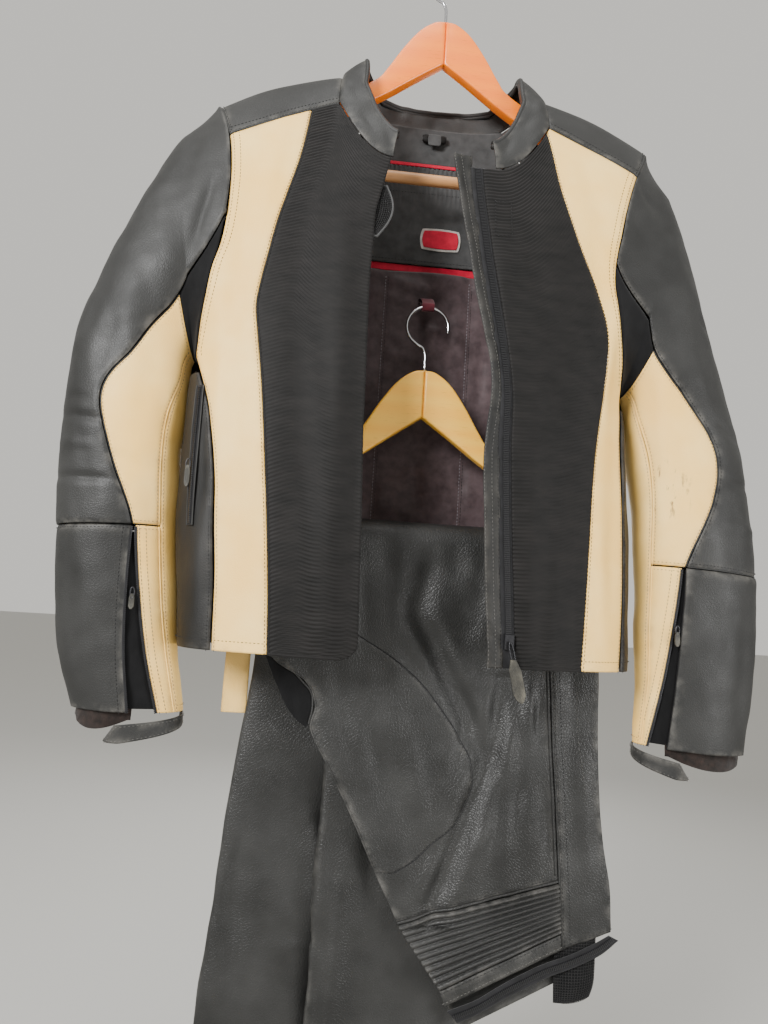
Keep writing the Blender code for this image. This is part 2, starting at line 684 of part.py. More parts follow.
def turn_of(share):
    """The angle round a sleeve, in half turns from its outer point, at a share of the way across it."""
    return acos(1 - 2 * min(1.0, max(0.0, share))) / pi


def sleeve_point(side, sign, turn, row, out=0.0):
    """A point of the sleeve. Turn 0 is the outer side, 0.5 the front, 1 the inner side and 1.5 the back."""
    rows = sleeve_table(side)
    outer = Vector((along(rows, "outer_x", row), 0, along(rows, "outer_z", row)))
    inner = Vector((along(rows, "inner_x", row), 0, along(rows, "inner_z", row)))
    half = (outer - inner) / 2
    depth = along(rows, "front" if sin(pi * turn) > 0 else "back", row) + out
    reach = 1 + out / half.length
    place = (outer + inner) / 2 + half * cos(pi * turn) * reach
    place.y = -depth * sin(pi * turn)
    if row < 1:
        cut = read(ARMHOLE, side, place.z) + 1.2
        joined = body(cut, place.z, -1 if sin(pi * turn) > 0 else 1, side, out)
        place = Vector((cut, joined.y, place.z)).lerp(place, row)
    return Vector((sign * place.x, place.y, place.z))


def sleeve_panel(name, side, sign, rows, borders, across, finish, out=0.0, thickness=LEATHER):
    """A piece of sleeve between two rows and two borders, which are turns worked out from the row."""
    first, last = rows
    near, far = borders
    even = [k * ROW_STEP for k in range(ceil(CUFF_ROW / ROW_STEP))]
    between = [row for row in even if first + 0.1 < row < last - 0.1]
    down = [(row - first) / (last - first) for row in [first, *between, last]]
    gap = SEAM / SLEEVE_GIRTH

    def point(u, v):
        row = blend(first, last, v)
        return sleeve_point(side, sign, blend(near(row) + gap, far(row) - gap, u), row, out)

    middle = sleeve_point(side, sign, 0.5, (first + last) / 2)
    centre = (middle + sleeve_point(side, sign, 1.5, (first + last) / 2)) / 2
    return sheet(name, across, down, point, thickness, finish, centre)


def build_sleeves():
    for side, sign in SIDES:
        table = sleeve_table(side)
        black = lambda row, table=table: turn_of(along(table, "black", row))
        piped = lambda row, table=table: turn_of(along(table, "piped", row))
        zip_out = lambda row, table=table: turn_of(along(table, "zip_out", max(FOREARM_ROW, row)))
        zip_in = lambda row, table=table: turn_of(along(table, "zip_in", max(FOREARM_ROW, row)))
        back = lambda row: -BACK_SEAM
        under = lambda row: 2 - BACK_SEAM
        top = CREAM_TOP_ROW[side]
        seam_row = 0.012
        panels = (
            ("upper", (0, FOREARM_ROW - seam_row), (back, black), 8, "black_leather"),
            ("stretch", (0, top - seam_row), (black, lambda row: 1.15), 4, "stretch_knit"),
            ("cream_front", (top + seam_row, FOREARM_ROW - seam_row), (black, piped), 4, "cream_leather"),
            ("cream_under", (top + seam_row, CUFF_ROW), (piped, under), 4, "cream_leather"),
            ("forearm", (FOREARM_ROW + seam_row, CUFF_ROW), (back, zip_out), 8, "black_leather"),
            ("cream_cuff", (FOREARM_ROW + seam_row, CUFF_ROW), (zip_in, piped), 2, "cream_leather"),
        )
        for part, rows, borders, across, finish in panels:
            sleeve_panel(f"sleeve_{side}_{part}", side, sign, rows, borders, across, finish)
        wider = (lambda row: zip_out(row) - 0.05, lambda row: zip_in(row) + 0.05)
        sleeve_panel(
            f"sleeve_{side}_gusset", side, sign, (FOREARM_ROW + 0.1, CUFF_ROW - 0.05), wider, 3,
            "stretch_knit", -LEATHER - LAYER - 0.8, LINING,
        )
        build_cuff(side, sign, zip_out, zip_in)


def build_cuff(side, sign, zip_out, zip_in):
    """The cuff's tab and the pull that hangs in its zip opening."""
    lap = 0.06

    def tab(u, v):
        turn = blend(zip_out(CUFF_ROW) - lap - 0.05 * v, 1.12, u)
        point = sleeve_point(side, sign, turn, CUFF_ROW, 1.2)
        return point + Vector((0, 0, -1.5 - 10 * (1 - u) - (9 + 9 * (1 - u)) * v))

    centre = sleeve_point(side, sign, 0.5, CUFF_ROW).lerp(sleeve_point(side, sign, 1.5, CUFF_ROW), 0.5)
    sheet(f"sleeve_{side}_tab", 7, 1, tab, LEATHER, "black_leather", centre)
    row = FOREARM_ROW + 1.0
    turn = (zip_out(row) + zip_in(row)) / 2
    place = sleeve_point(side, sign, turn, row, 3.0)
    build_pull(f"sleeve_{side}_zip_pull", place, 8, 12, 5, 0)


def build_pocket():
    """The right side pocket's zip, on the side panel's points, and its pull tab."""

    def strip(u, v):
        z = blend(-508, -640, v)
        angle = side_angle(read(BODY_WIDTH, "right", z) - POCKET_INSET, z, "right")
        return side_point(angle + blend(-0.045, 0.045, u), z, "right", -1, LAYER)

    sheet("pocket_zip", 1, 6, strip, 0.6, "zip_tape", (0, 0, -570))
    middle = side_angle(read(BODY_WIDTH, "right", -580) - POCKET_INSET, -580, "right")
    at = side_point(middle, -580, "right", -1, 4.5)
    build_pull("pocket_zip_pull", at, 8, 18, 5, 0)


# ---------------------------------------------------------------- hangers

def build_hanger(name, top, y, wood):
    half = [(corner.x, top + corner.z) for corner in WOOD_EDGE]
    outline = half + [(-x, z) for x, z in half[::-1] if x > 0]
    plate(f"{name}_wood", outline, y, WOOD, wood, 2.0)
    bar_z = top - BAR_DROP
    wire(f"{name}_bar", [(-BAR_HALF, y, bar_z), (BAR_HALF, y, bar_z)], BAR_RADIUS, "dowel", 3)
    wire(f"{name}_hook", hook_route(top, y), WIRE_RADIUS, "chrome")


def hook_route(top, y):
    """Up out of the wood, aside, and round the bend to the free end."""
    centre = top + HOOK_HEIGHT + WIRE_RADIUS - HOOK_RADIUS
    stem = [
        (0, y, top + 0.3), (0, y, top + 14), (-1, y, top + 22), (-5, y, top + 28), (-11, y, centre - 17.5),
    ]
    bend = [
        (1 + HOOK_RADIUS * cos(radians(angle)), y, centre + HOOK_RADIUS * sin(radians(angle)))
        for angle in range(218, -13, -14)
    ]
    return stem + bend


# ---------------------------------------------------------------- trousers

def fold_dent(x, z):
    """How far the drape's two largest folds sink at a point of the front layer."""
    dent = 0.0
    for line in DRAPE_FOLDS:
        if line[-1].z - 20 < z < line[0].z + 20:
            away = (x - read(line, "x", z)) / FOLD_WIDTH
            dent = max(dent, FOLD_DEPTH * exp(-away * away))
    return dent * min(1.0, max(0.0, (-655 - z) / 60))


def layer_front(x, z, out=0.0, dented=True):
    """The face of the trousers' front layer, below the fold over the bar."""
    lean = -9 * min(1.0, max(0.0, (-650 - z) / 400))
    dent = fold_dent(x, z) if dented else 0
    return Vector((x, LOWER_Y - FOLD_RADIUS + lean + dent - out, z))


def spans_point(spans, u, v, out=0.0, dented=True):
    row = v * (len(spans) - 1)
    k = min(int(row), len(spans) - 2)
    a, b, t = spans[k], spans[k + 1], row - k
    x = blend(blend(a.left_x, b.left_x, t), blend(a.right_x, b.right_x, t), u)
    z = blend(blend(a.left_z, b.left_z, t), blend(a.right_z, b.right_z, t), u)
    return layer_front(x, z, out, dented)


def over_bar(x, angle, inset):
    """Round the bar, from its front (0 degrees) over the top to the back (180)."""
    radius = FOLD_RADIUS - inset
    turn = radians(angle)
    centre = LOWER_TOP - BAR_DROP
    return Vector((x, LOWER_Y - radius * cos(turn), centre + radius * sin(turn)))


def folded_panel(name, spans, across, down, inset, thickness, finish, dented=True):
    """A front piece that starts at the back of the bar and comes over it."""

    def point(u, v):
        if v < OVER_BAR:
            x = blend(spans[0].left_x, spans[0].right_x, u)
            return over_bar(x, blend(150, 0, v / OVER_BAR), inset)
        return spans_point(spans, u, (v - OVER_BAR) / (1 - OVER_BAR), -inset, dented)

    return sheet(name, across, down, point, thickness, finish, (0, LOWER_Y + 60, -900))


def build_trouser_fronts():
    folded_panel("trousers_seat", SEAT_SPANS, 12, 20, 0, LEATHER, "black_leather")
    folded_panel("trousers_hip", HIP_SPANS, 2, 20, 0, LEATHER, "black_leather")

    def patch(u, v):
        """A patch on the seat, from the fold's edge to a rounded edge."""
        z = blend(PATCH_EDGE[0].z, PATCH_EDGE[-1].z, v)
        return layer_front(blend(read(SEAT_EDGE, "x", z) + 4, read(PATCH_EDGE, "x", z), u), z, 5.0)

    sheet("trousers_seat_patch", 6, 10, patch, 1.0, "black_leather", (0, 100, -850))

    def ribs(u, v):
        point = spans_point(RIB_SPANS, u, v)
        return point - Vector((0, RIB_DEPTH * abs(sin(pi * RIBS * v)), 0))

    sheet("trousers_accordion", 4, 2 * RIBS, ribs, LEATHER, "black_leather", (0, 100, -1000))
    sheet("trousers_waistband", 4, 1, lambda u, v: spans_point(BAND_SPANS, u, v), LEATHER, "black_leather",
          (0, 100, -1000))
    sheet("trousers_waist_zip", 1, len(ZIP_SPANS) - 1, lambda u, v: spans_point(ZIP_SPANS, u, v, 0.5),
          TEXTILE, "zip_tape", (0, 100, -1000))
    sheet("trousers_stretch_crotch", 2, 8, lambda u, v: spans_point(CRESCENT_SPANS, u, v, -2), TEXTILE,
          "stretch_knit", (0, 100, -780))
    sheet("trousers_mesh_lining", 2, 3,
          lambda u, v: (blend(150, 189, u), LOWER_Y - 28, blend(-985, -1058, v)),
          LINING, "net_mesh", (160, 100, -1000))


def build_core():
    """The folded layers that don't show: one rounded wall over the bar, inside the pieces that do."""
    inset = LEATHER + LAYER + FOLD_DEPTH + 0.5
    folded_panel("trousers_folded_layers", CORE_SPANS, 4, 14, inset, 8.0, "black_leather", dented=False)


def build_legs():
    for name, rows in (("trousers_leg_back", LEG_BACK), ("trousers_leg_front", LEG_FRONT)):
        count, levels = 16, steps(0, len(rows) - 1, 2 * (len(rows) - 1))
        points, faces = [], []
        for level in levels:
            k = min(int(level), len(rows) - 2)
            row = [blend(a, b, level - k) for a, b in zip(rows[k], rows[k + 1])]
            z, outer, inner, near, far = row
            for i in range(count):
                turn = 2 * pi * i / count
                x = (outer + inner) / 2 - (inner - outer) / 2 * signed_root(cos(turn))
                y = (near + far) / 2 + (far - near) / 2 * signed_root(sin(turn))
                points.append((x, y, z))
        for j in range(len(levels) - 1):
            for i in range(count):
                n = (i + 1) % count
                faces.append((j * count + i, j * count + n, (j + 1) * count + n, (j + 1) * count + i))
        faces.append(tuple(range(count))[::-1])
        faces.append(tuple((len(levels) - 1) * count + i for i in range(count)))
        mesh = mesh_of(name, points, faces)
        tidy = bmesh.new()
        tidy.from_mesh(mesh)
        bmesh.ops.recalc_face_normals(tidy, faces=tidy.faces)
        tidy.to_mesh(mesh)
        tidy.free()
        add_object(name, mesh, "black_leather")


def signed_root(value):
    return abs(value) ** 0.5 * (1 if value > 0 else -1)


def build_stripe():
    """The end of a cream stripe that hangs out below the back's hem."""
    sheet("trousers_cream_stripe", 2, 4, lambda u, v: (blend(-183, -158, u), 41, blend(-690, -818, v)),
          LEATHER, "cream_leather", (-166, 0, -750))


clear_scene()
suit = bpy.data.collections.new("motorcycle race suit on hangers")
bpy.context.scene.collection.children.link(suit)
build_hanger("hanger_upper", UPPER_TOP, 0, "orange_wood")
build_hanger("hanger_lower", LOWER_TOP, LOWER_Y, "pale_wood")
build_fronts()
build_zip_front()
build_sides()
build_back()
build_yokes()
build_collar()
build_inside()
build_small_trim()
build_label()
build_sleeves()
build_pocket()
build_core()
build_trouser_fronts()
build_legs()
build_stripe()
print("sub-parts:", len(suit.objects))
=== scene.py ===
# %% [markdown]
# # A motorcycle race suit on two wooden hangers
#
# The suit is an open leather jacket on one hanger. Its trousers are folded over the bar of a second
# hanger, which hangs from a loop label inside the jacket's back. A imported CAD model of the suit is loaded
# first. It is plain and faceted, and it says where each piece is. This script makes the fine cloth on top
# of it: thin walls with creases, stitches, zip teeth, piping and worn leather. Sides are the wearer's:
# right is at -X.

# %% Load the frame
import json
from collections import namedtuple
from math import cos, pi, radians, sin

import bmesh
import bpy
import numpy as np
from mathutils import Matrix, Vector


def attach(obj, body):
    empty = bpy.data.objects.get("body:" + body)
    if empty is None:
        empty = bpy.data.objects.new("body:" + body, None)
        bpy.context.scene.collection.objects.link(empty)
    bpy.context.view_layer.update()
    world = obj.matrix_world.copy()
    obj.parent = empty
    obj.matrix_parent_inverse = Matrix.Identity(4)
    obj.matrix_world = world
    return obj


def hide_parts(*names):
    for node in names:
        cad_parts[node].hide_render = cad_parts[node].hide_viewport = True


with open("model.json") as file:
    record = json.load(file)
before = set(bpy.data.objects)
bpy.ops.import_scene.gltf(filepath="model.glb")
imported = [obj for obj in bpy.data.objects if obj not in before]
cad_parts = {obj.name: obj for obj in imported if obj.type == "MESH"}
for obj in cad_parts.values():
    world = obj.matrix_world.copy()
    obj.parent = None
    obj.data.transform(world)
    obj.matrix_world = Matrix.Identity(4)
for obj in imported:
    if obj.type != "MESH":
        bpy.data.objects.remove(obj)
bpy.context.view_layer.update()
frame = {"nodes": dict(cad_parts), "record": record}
MM = 0.001
SIDES = (("right", -1), ("left", 1))

# %% [markdown]
# ## Camera
#
# The suit is seen from the height of its middle, from a little to the wearer's right, with the camera
# tipped up and slightly turned, as a hand-held one is. A short lens close by gives the strong
# perspective.

# %% Camera
CAMERA_PLACE = (-0.0985, -0.7335, -0.6985)
CAMERA_YAW, CAMERA_PITCH, CAMERA_ROLL = radians(5.0), radians(6.93), radians(3.55)
LENS = 26.0


def add_camera():
    level_part = cos(CAMERA_PITCH)
    ahead = Vector((sin(CAMERA_YAW) * level_part, cos(CAMERA_YAW) * level_part, sin(CAMERA_PITCH)))
    level = ahead.cross(Vector((0, 0, 1))).normalized()
    above = level.cross(ahead)
    right = level * cos(CAMERA_ROLL) + above * sin(CAMERA_ROLL)
    up = right.cross(ahead)
    data = bpy.data.cameras.new("camera")
    data.lens = LENS
    data.clip_start = 0.01
    camera = bpy.data.objects.new("camera", data)
    bpy.context.scene.collection.objects.link(camera)
    turn = camera.matrix_world.copy()
    for row in range(3):
        turn[row][0], turn[row][1], turn[row][2] = right[row], up[row], -ahead[row]
        turn[row][3] = CAMERA_PLACE[row]
    camera.matrix_world = turn
    bpy.context.scene.camera = camera


add_camera()
print("camera at", CAMERA_PLACE)

# %% [markdown]
# ## The pattern's sizes
#
# A garment maker works from a table of half widths and seam lines at given heights. These are the same
# tables that the CAD model was made from, in millimetres, so each fine panel lies exactly on its plain
# one.

# %% Cloth and hanger sizes
LEATHER, TEXTILE, LINING = 1.8, 1.4, 1.0  # walls
SEAM = 0.35  # each panel stops this far from its seam line
LAYER = 0.8  # between a panel and the one under it
BAR_RADIUS, BAR_HALF, BAR_DROP = 6.0, 185.0, 182.0
WIRE_RADIUS, HOOK_HEIGHT, HOOK_RADIUS = 1.75, 69.0, 22.0
WOOD = 13.0
UPPER_TOP, LOWER_TOP, LOWER_Y = -HOOK_HEIGHT, -457.0, 12.0

# Jacket
HEM = -750.0
BULGE = 3.0  # the power that rounds the body's sections
SHOULDER_DROP = 90.0  # over which the shoulder turns down
NECK_SIDE, NECK_FRONT, NECK_BACK = 106.0, 52.0, 70.0
NECK_FRONT_Z, NECK_BACK_Z = -264.0, -164.0
YOKE_BACK_ANGLE, SIDE_BACK_ANGLE = 60.0, 38.0
ZIP_HALF = 5.0
POCKET_INSET = 18.0
COLLAR_GAP = 1.2
INNER_DEPTH = LEATHER + LAYER + LINING
NECK_DEPTH = INNER_DEPTH + 3.4

# Trousers
FOLD_RADIUS, FOLD_DEPTH, FOLD_WIDTH = 23.0, 5.0, 13.0
LEG_END = -1200.0
OVER_BAR = 0.3  # the share of a folded piece that is behind and on the bar
FOLD_START = 150.0  # and how far round the bar it starts, in degrees
RIBS, RIB_DEPTH = 11, 3.4

# %% The pattern's tables
Width = namedtuple("Width", "z right left")
Depth = namedtuple("Depth", "z front back")
Section = namedtuple("Section", "place outer_x outer_z inner_x inner_z front back black piped zip_out zip_in")
Span = namedtuple("Span", "left_x left_z right_x right_z")
Leg = namedtuple("Leg", "z outer inner near far")
Fold = namedtuple("Fold", "z x")
Stand = namedtuple("Stand", "place inward up")


def rows_of(kind, *rows):
    """A table whose columns have the names of that kind of row."""
    return tuple(kind(*row) for row in rows)


# %% Tables of the jacket

BODY_WIDTH = rows_of(
    Width, (-190, 300, 285), (-254, 300, 285), (-320, 290, 265), (-394, 262, 238), (-446, 241, 212),
    (-480, 234.5, 201), (-520, 235.5, 205), (-600, 235, 211), (-650, 232.5, 212), (-700, 228, 211.5),
    (-750, 223, 211),
)
BODY_DEPTH = rows_of(
    Depth, (-110, 40, 48), (-200, 46, 51), (-260, 54, 53), (-350, 66, 55), (-500, 78, 57), (-620, 82, 58),
    (-750, 82, 58),
)
ARMHOLE = rows_of(
    Width, (-200, 231, 224), (-225, 222, 213), (-254, 213, 200), (-288, 208, 190), (-320, 207, 183),
    (-350, 208, 177), (-372, 211, 176), (-394, 217, 180), (-420, 221, 185), (-446, 225, 190),
    (-476, 228, 194),
)
SIDE_SEAM = rows_of(
    Width, (-476, 228, 194), (-500, 218, 193), (-528, 208, 191), (-592, 196, 192), (-642, 192, 193),
    (-685, 188, 193), (-750, 185, 192),
)
CREAM_INNER = rows_of(
    Width, (-205, 134, 104), (-240, 137, 111), (-275, 142, 118), (-310, 150, 128), (-345, 158, 140),
    (-380, 164, 155), (-410, 169, 166), (-432, 171, 169), (-460, 167, 168), (-490, 162, 165),
    (-525, 157, 160), (-575, 151, 155), (-640, 144, 152), (-690, 139, 150), (-750, 135, 147),
)
FRONT_EDGE = rows_of(
    Width, (-230, 51, 33), (-264, 53, 33), (-290, 58, 35), (-327, 65, 40), (-362, 66, 45), (-402, 67, 52),
    (-452, 66, 61), (-500, 65, 67), (-549, 64, 67), (-620, 61, 70), (-700, 58, 75), (-750, 56, 78),
)
FLAP_EDGE = rows_of(
    Fold, (-255, 8), (-290, 14), (-317, 18), (-352, 25), (-392, 32), (-429, 40), (-470, 49), (-502, 51),
    (-531, 48), (-563, 46), (-622, 49), (-688, 53), (-735, 57),
)
COLLAR = rows_of(
    Stand, ("front end", 6, 29), ("front", 13, 33), ("front curve", 20, 33), ("yoke seam", 27, 29),
    ("shoulder front", 25, 23), ("shoulder", 22, 19), ("shoulder back", 10, 24), ("back quarter", -4, 27),
    ("back", -9, 29),
)
SLEEVE_RIGHT = rows_of(
    Section,
    ("armhole", 231, -200, 228, -476, 46, 42, 0.51, 0.99, 0.0, 0.0),
    ("cap", 262, -238, 232, -472, 48, 44, 0.70, 0.99, 0.0, 0.0),
    ("upper arm", 297, -310, 236, -474, 48, 44, 0.73, 0.98, 0.0, 0.0),
    ("biceps", 330, -393, 237.5, -484, 47, 44, 0.66, 0.97, 0.0, 0.0),
    ("above elbow", 345, -450, 237, -504, 46, 44, 0.56, 0.95, 0.0, 0.0),
    ("elbow", 350, -510, 237, -533, 45, 44, 0.37, 0.90, 0.0, 0.0),
    ("below elbow", 350, -574, 236.6, -574, 43, 42, 0.48, 0.88, 0.74, 0.70),
    ("forearm seam", 348, -645, 234.2, -640, 40, 40, 0.69, 0.90, 0.695, 0.715),
    ("forearm", 342, -700, 229.5, -700, 37, 38, 0.64, 0.91, 0.65, 0.735),
    ("wrist", 333, -757, 223.5, -757, 33, 35, 0.60, 0.93, 0.61, 0.765),
    ("cuff", 317, -812, 214, -812, 29, 31, 0.56, 0.95, 0.57, 0.80),
)
SLEEVE_LEFT = rows_of(
    Section,
    ("armhole", 224, -200, 194, -476, 46, 42, 0.55, 0.99, 0.0, 0.0),
    ("cap", 250, -246, 201, -472, 48, 44, 0.68, 0.99, 0.0, 0.0),
    ("upper arm", 275, -315, 207, -472, 48, 44, 0.74, 0.98, 0.0, 0.0),
    ("biceps", 298, -400, 211, -480, 47, 44, 0.68, 0.97, 0.0, 0.0),
    ("above elbow", 316, -462, 213, -500, 46, 44, 0.55, 0.95, 0.0, 0.0),
    ("elbow", 334, -522, 216, -535, 45, 44, 0.38, 0.91, 0.0, 0.0),
    ("below elbow", 345, -580, 222, -578, 43, 42, 0.46, 0.91, 0.70, 0.68),
    ("forearm seam", 351, -652, 228, -645, 40, 40, 0.71, 0.94, 0.715, 0.735),
    ("forearm", 351, -705, 230, -705, 37, 38, 0.73, 0.95, 0.74, 0.79),
    ("wrist", 348, -765, 232, -762, 33, 35, 0.76, 0.96, 0.77, 0.86),
    ("cuff", 342, -828, 229, -822, 29, 31, 0.78, 0.975, 0.79, 0.93),
)
SLEEVES = {"right": SLEEVE_RIGHT, "left": SLEEVE_LEFT}
FOREARM_ROW, CUFF_ROW = 7, 10
CREAM_TOP_ROW = {"right": 1.5, "left": 1.95}
BACK_SEAM = 0.65
SLEEVE_GIRTH = 80.0

# %% Tables of the trousers
SEAT_SPANS = rows_of(
    Span, (-138, -652, 122, -652), (-140, -700, 131, -700), (-136, -753, 136, -745),
    (-101, -777, 138, -775), (-90, -800, 139, -797), (-93, -821, 141, -822), (-75, -853, 143, -848),
    (-51, -895, 146, -882), (-26, -943, 149, -918), (0, -991, 151, -951),
)
RIB_SPANS = rows_of(Span, (0, -992, 151, -952), (21, -1020, 153, -974), (42, -1047, 154, -996))
BAND_SPANS = rows_of(Span, (42, -1048, 154, -997), (47, -1061, 155, -1011))
HIP_SPANS = rows_of(
    Span, (123, -652, 156, -652), (132, -700, 176, -700), (137, -745, 186, -745), (142, -822, 187, -822),
    (144, -848, 188, -850), (147, -882, 191, -885), (150, -918, 196, -925), (152, -951, 201, -955),
    (156, -1012, 203, -994),
)
ZIP_SPANS = rows_of(
    Span, (50, -1065, 60, -1075), (74, -1056, 80, -1066), (94, -1045, 99, -1055),
    (115, -1034, 120, -1045), (139, -1023, 143, -1034), (163, -1015, 168, -1025),
    (186, -1005, 193, -1014), (201, -997, 210, -1001),
)
CRESCENT_SPANS = rows_of(
    Span, (-141, -752, -138, -754), (-131, -775, -119, -763.5), (-124, -788, -103, -778),
    (-117, -801, -94, -788), (-107, -813, -92, -802), (-97, -820, -94.5, -817),
)
CORE_SPANS = rows_of(
    Span, (-132, -652, 148, -652), (-132, -745, 174, -745), (-84, -802, 176, -810),
    (-40, -905, 184, -900), (8, -985, 188, -960), (34, -1030, 168, -1000), (62, -1085, 158, -1040),
)
LEG_BACK = rows_of(
    Leg, (-662, -148, -36, 26, 40), (-782, -155, -50, 27, 44), (-843, -162, -56, 26, 44),
    (-953, -172, -58, 24, 43), (-1099, -182, -60, 22, 42), (LEG_END, -188, -66, 22, 41),
)
LEG_FRONT = rows_of(
    Leg, (-662, -70, 110, 8, 24), (-782, -72, 118, 6, 24), (-863, -74, 116, 5, 23),
    (-953, -75, 100, 3, 21), (-1099, -79, 66, 2, 20), (LEG_END, -82, 48, 2, 20),
)
SEAT_EDGE = tuple(Fold(span.left_z, span.left_x) for span in SEAT_SPANS)
PATCH_EDGE = rows_of(
    Fold, (-729, -57), (-750, -20), (-772, 9), (-805, 38), (-834, 58), (-857, 65), (-875, 64), (-902, 51),
    (-921, 29), (-937, 11), (-949, -9),
)
DRAPE_FOLDS = (
    rows_of(Fold, (-650, 17), (-705, 4), (-729, 16), (-756, 31), (-797, 55), (-840, 74)),
    rows_of(Fold, (-780, 92), (-822, 86), (-853, 77), (-889, 63), (-935, 48), (-975, 32)),
)
print("sleeve sections:", len(SLEEVE_RIGHT), "trouser spans:", len(SEAT_SPANS))

# %% [markdown]
# ## Reading a table on whole grids at once
#
# A fine panel has thousands of points, so each function here takes an array of places and gives an array
# of values. The curve through the rows is a cubic whose slopes come from the neighbouring rows.


# %% Reading the tables
def smooth_read(places, values, at):
    """The height of a smooth curve through some values, and level past both ends."""
    places, values = np.array(places, float), np.array(values, float)
    order = np.argsort(places)
    places, values = places[order], values[order]
    slopes = np.gradient(values, places)
    slopes[1:-1] = (values[2:] - values[:-2]) / (places[2:] - places[:-2])
    at = np.clip(at, places[0], places[-1])
    k = np.clip(np.searchsorted(places, at) - 1, 0, len(places) - 2)
    width = places[k + 1] - places[k]
    t = (at - places[k]) / width
    start = (2 * t**3 - 3 * t**2 + 1) * values[k] + (t**3 - 2 * t**2 + t) * width * slopes[k]
    return start + (3 * t**2 - 2 * t**3) * values[k + 1] + (t**3 - t**2) * width * slopes[k + 1]


def read(table, column, z):
    """A column's value at height z."""
    return smooth_read([row.z for row in table], [getattr(row, column) for row in table], z)


def along(rows, column, place):
    """A column's value part of the way down numbered rows, such as row 2.5."""
    return smooth_read(range(len(rows)), [getattr(row, column) for row in rows], place)


def mix(a, b, share):
    """Part of the way from a to b."""
    return a + (b - a) * share


def points(x, y, z):
    x, y, z = np.broadcast_arrays(x, y, z)
    return np.stack([x, y, z], axis=-1).astype(float)


print("half width at the chest:", read(BODY_WIDTH, "right", -400))

# %% [markdown]
# ## The jacket's form
#
# The body is a tube whose sections are rounded boxes. Each function gives points on the face of the
# cloth: `body` by distance from the middle and height, `side_point` by the angle round the side,
# `yoke_point` by the angle over the shoulder and `sleeve_point` by half turns round a sleeve.


# %% Points on the jacket's body
def side_of(x):
    return np.asarray(x) > 0


def both(table, x, z):
    """The right column's value at -X and the left column's at +X."""
    return np.where(side_of(x), read(table, "left", z), read(table, "right", z))


def ridge(x):
    """The shoulder's top line, level with the neck and falling outwards."""
    past = np.abs(x) - NECK_SIDE
    return np.where(past < 0, -151 - 0.9 * past, -151 - 0.2 * past - 0.0016 * past**2)


def body(x, z, face, out=0.0):
    """The jacket's front (face -1) or back (face 1), moved out by so much."""
    x, z = np.asarray(x, float), np.asarray(z, float)
    depth = read(BODY_DEPTH, "front" if face < 0 else "back", z)
    across = (1 - np.minimum(1, np.abs(x) / both(BODY_WIDTH, x, z)) ** BULGE) ** (1 / BULGE)
    dropped = np.clip((ridge(x) - z) / SHOULDER_DROP, 0, 1)
    turned = np.sqrt(1 - (1 - dropped) ** 2)
    return points(x, face * (depth * across * turned + out), z)


def side_angle(x, z, side):
    return np.arccos(np.minimum(1, (np.abs(x) / read(BODY_WIDTH, side, z)) ** (BULGE / 2)))


def side_point(angle, z, side, sign, out=0.0):
    width = read(BODY_WIDTH, side, z) + out
    depth = np.where(angle > 0, read(BODY_DEPTH, "front", z), read(BODY_DEPTH, "back", z)) + out
    x = width * np.cos(angle) ** (2 / BULGE)
    y = depth * np.abs(np.sin(angle)) ** (2 / BULGE)
    return points(sign * x, np.where(angle > 0, -y, y), z)


def neck_front(x):
    return NECK_FRONT_Z + 60 * (np.maximum(0, np.abs(x) - NECK_FRONT) / (NECK_SIDE + 2 - NECK_FRONT)) ** 2


def yoke_front(x):
    return -203 - 0.45 * (np.abs(x) - NECK_SIDE - 2)


def yoke_back(x):
    seam = ridge(x) - SHOULDER_DROP * (1 - cos(radians(YOKE_BACK_ANGLE)))
    return np.where(np.abs(x) < NECK_BACK, NECK_BACK_Z, seam)


def front_top(x):
    return np.where(np.abs(x) < NECK_SIDE + 2, neck_front(x), yoke_front(x))


def cream_outer(z, side):
    return np.where(z > ARMHOLE[-1].z, read(ARMHOLE, side, z), read(SIDE_SEAM, side, z))


def yoke_neck(angle):
    behind = mix(NECK_SIDE, NECK_BACK, (np.maximum(0, angle) / YOKE_BACK_ANGLE) ** 1.6)
    return np.where(angle < 0, NECK_SIDE - 2 * angle / 60, behind)


def yoke_point(x, angle):
    z = ridge(x) - SHOULDER_DROP * (1 - np.cos(np.radians(angle)))
    return np.where(np.asarray(angle)[..., None] < 0, body(x, z, -1), body(x, z, 1))


def front_seam_angle(x):
    dropped = np.minimum(0.99, (ridge(x) - yoke_front(x) - SEAM) / SHOULDER_DROP)
    return -np.degrees(np.arccos(1 - dropped))


# %% Points on a sleeve
def turn_of(share):
    return np.arccos(1 - 2 * np.clip(share, 0, 1)) / pi


def sleeve_point(side, sign, turn, row, out=0.0):
    """Turn 0 is the outer side, 0.5 the front, 1 the inner side and 1.5 the back."""
    rows = SLEEVES[side]
    turn, row = np.broadcast_arrays(np.asarray(turn, float), np.asarray(row, float))
    outer_x, outer_z = along(rows, "outer_x", row), along(rows, "outer_z", row)
    half_x, half_z = (outer_x - along(rows, "inner_x", row)) / 2, (outer_z - along(rows, "inner_z", row)) / 2
    in_front = np.sin(pi * turn) > 0
    depth = np.where(in_front, along(rows, "front", row), along(rows, "back", row)) + out
    reach = np.cos(pi * turn) * (1 + out / np.hypot(half_x, half_z)) - 1
    x, y, z = outer_x + half_x * reach, -depth * np.sin(pi * turn), outer_z + half_z * reach
    cut = read(ARMHOLE, side, z) + 1.2
    joined = np.where(in_front, body(sign * cut, z, -1, out)[..., 1], body(sign * cut, z, 1, out)[..., 1])
    share = np.minimum(1, row)
    return points(sign * mix(cut, x, share), mix(joined, y, share), z)


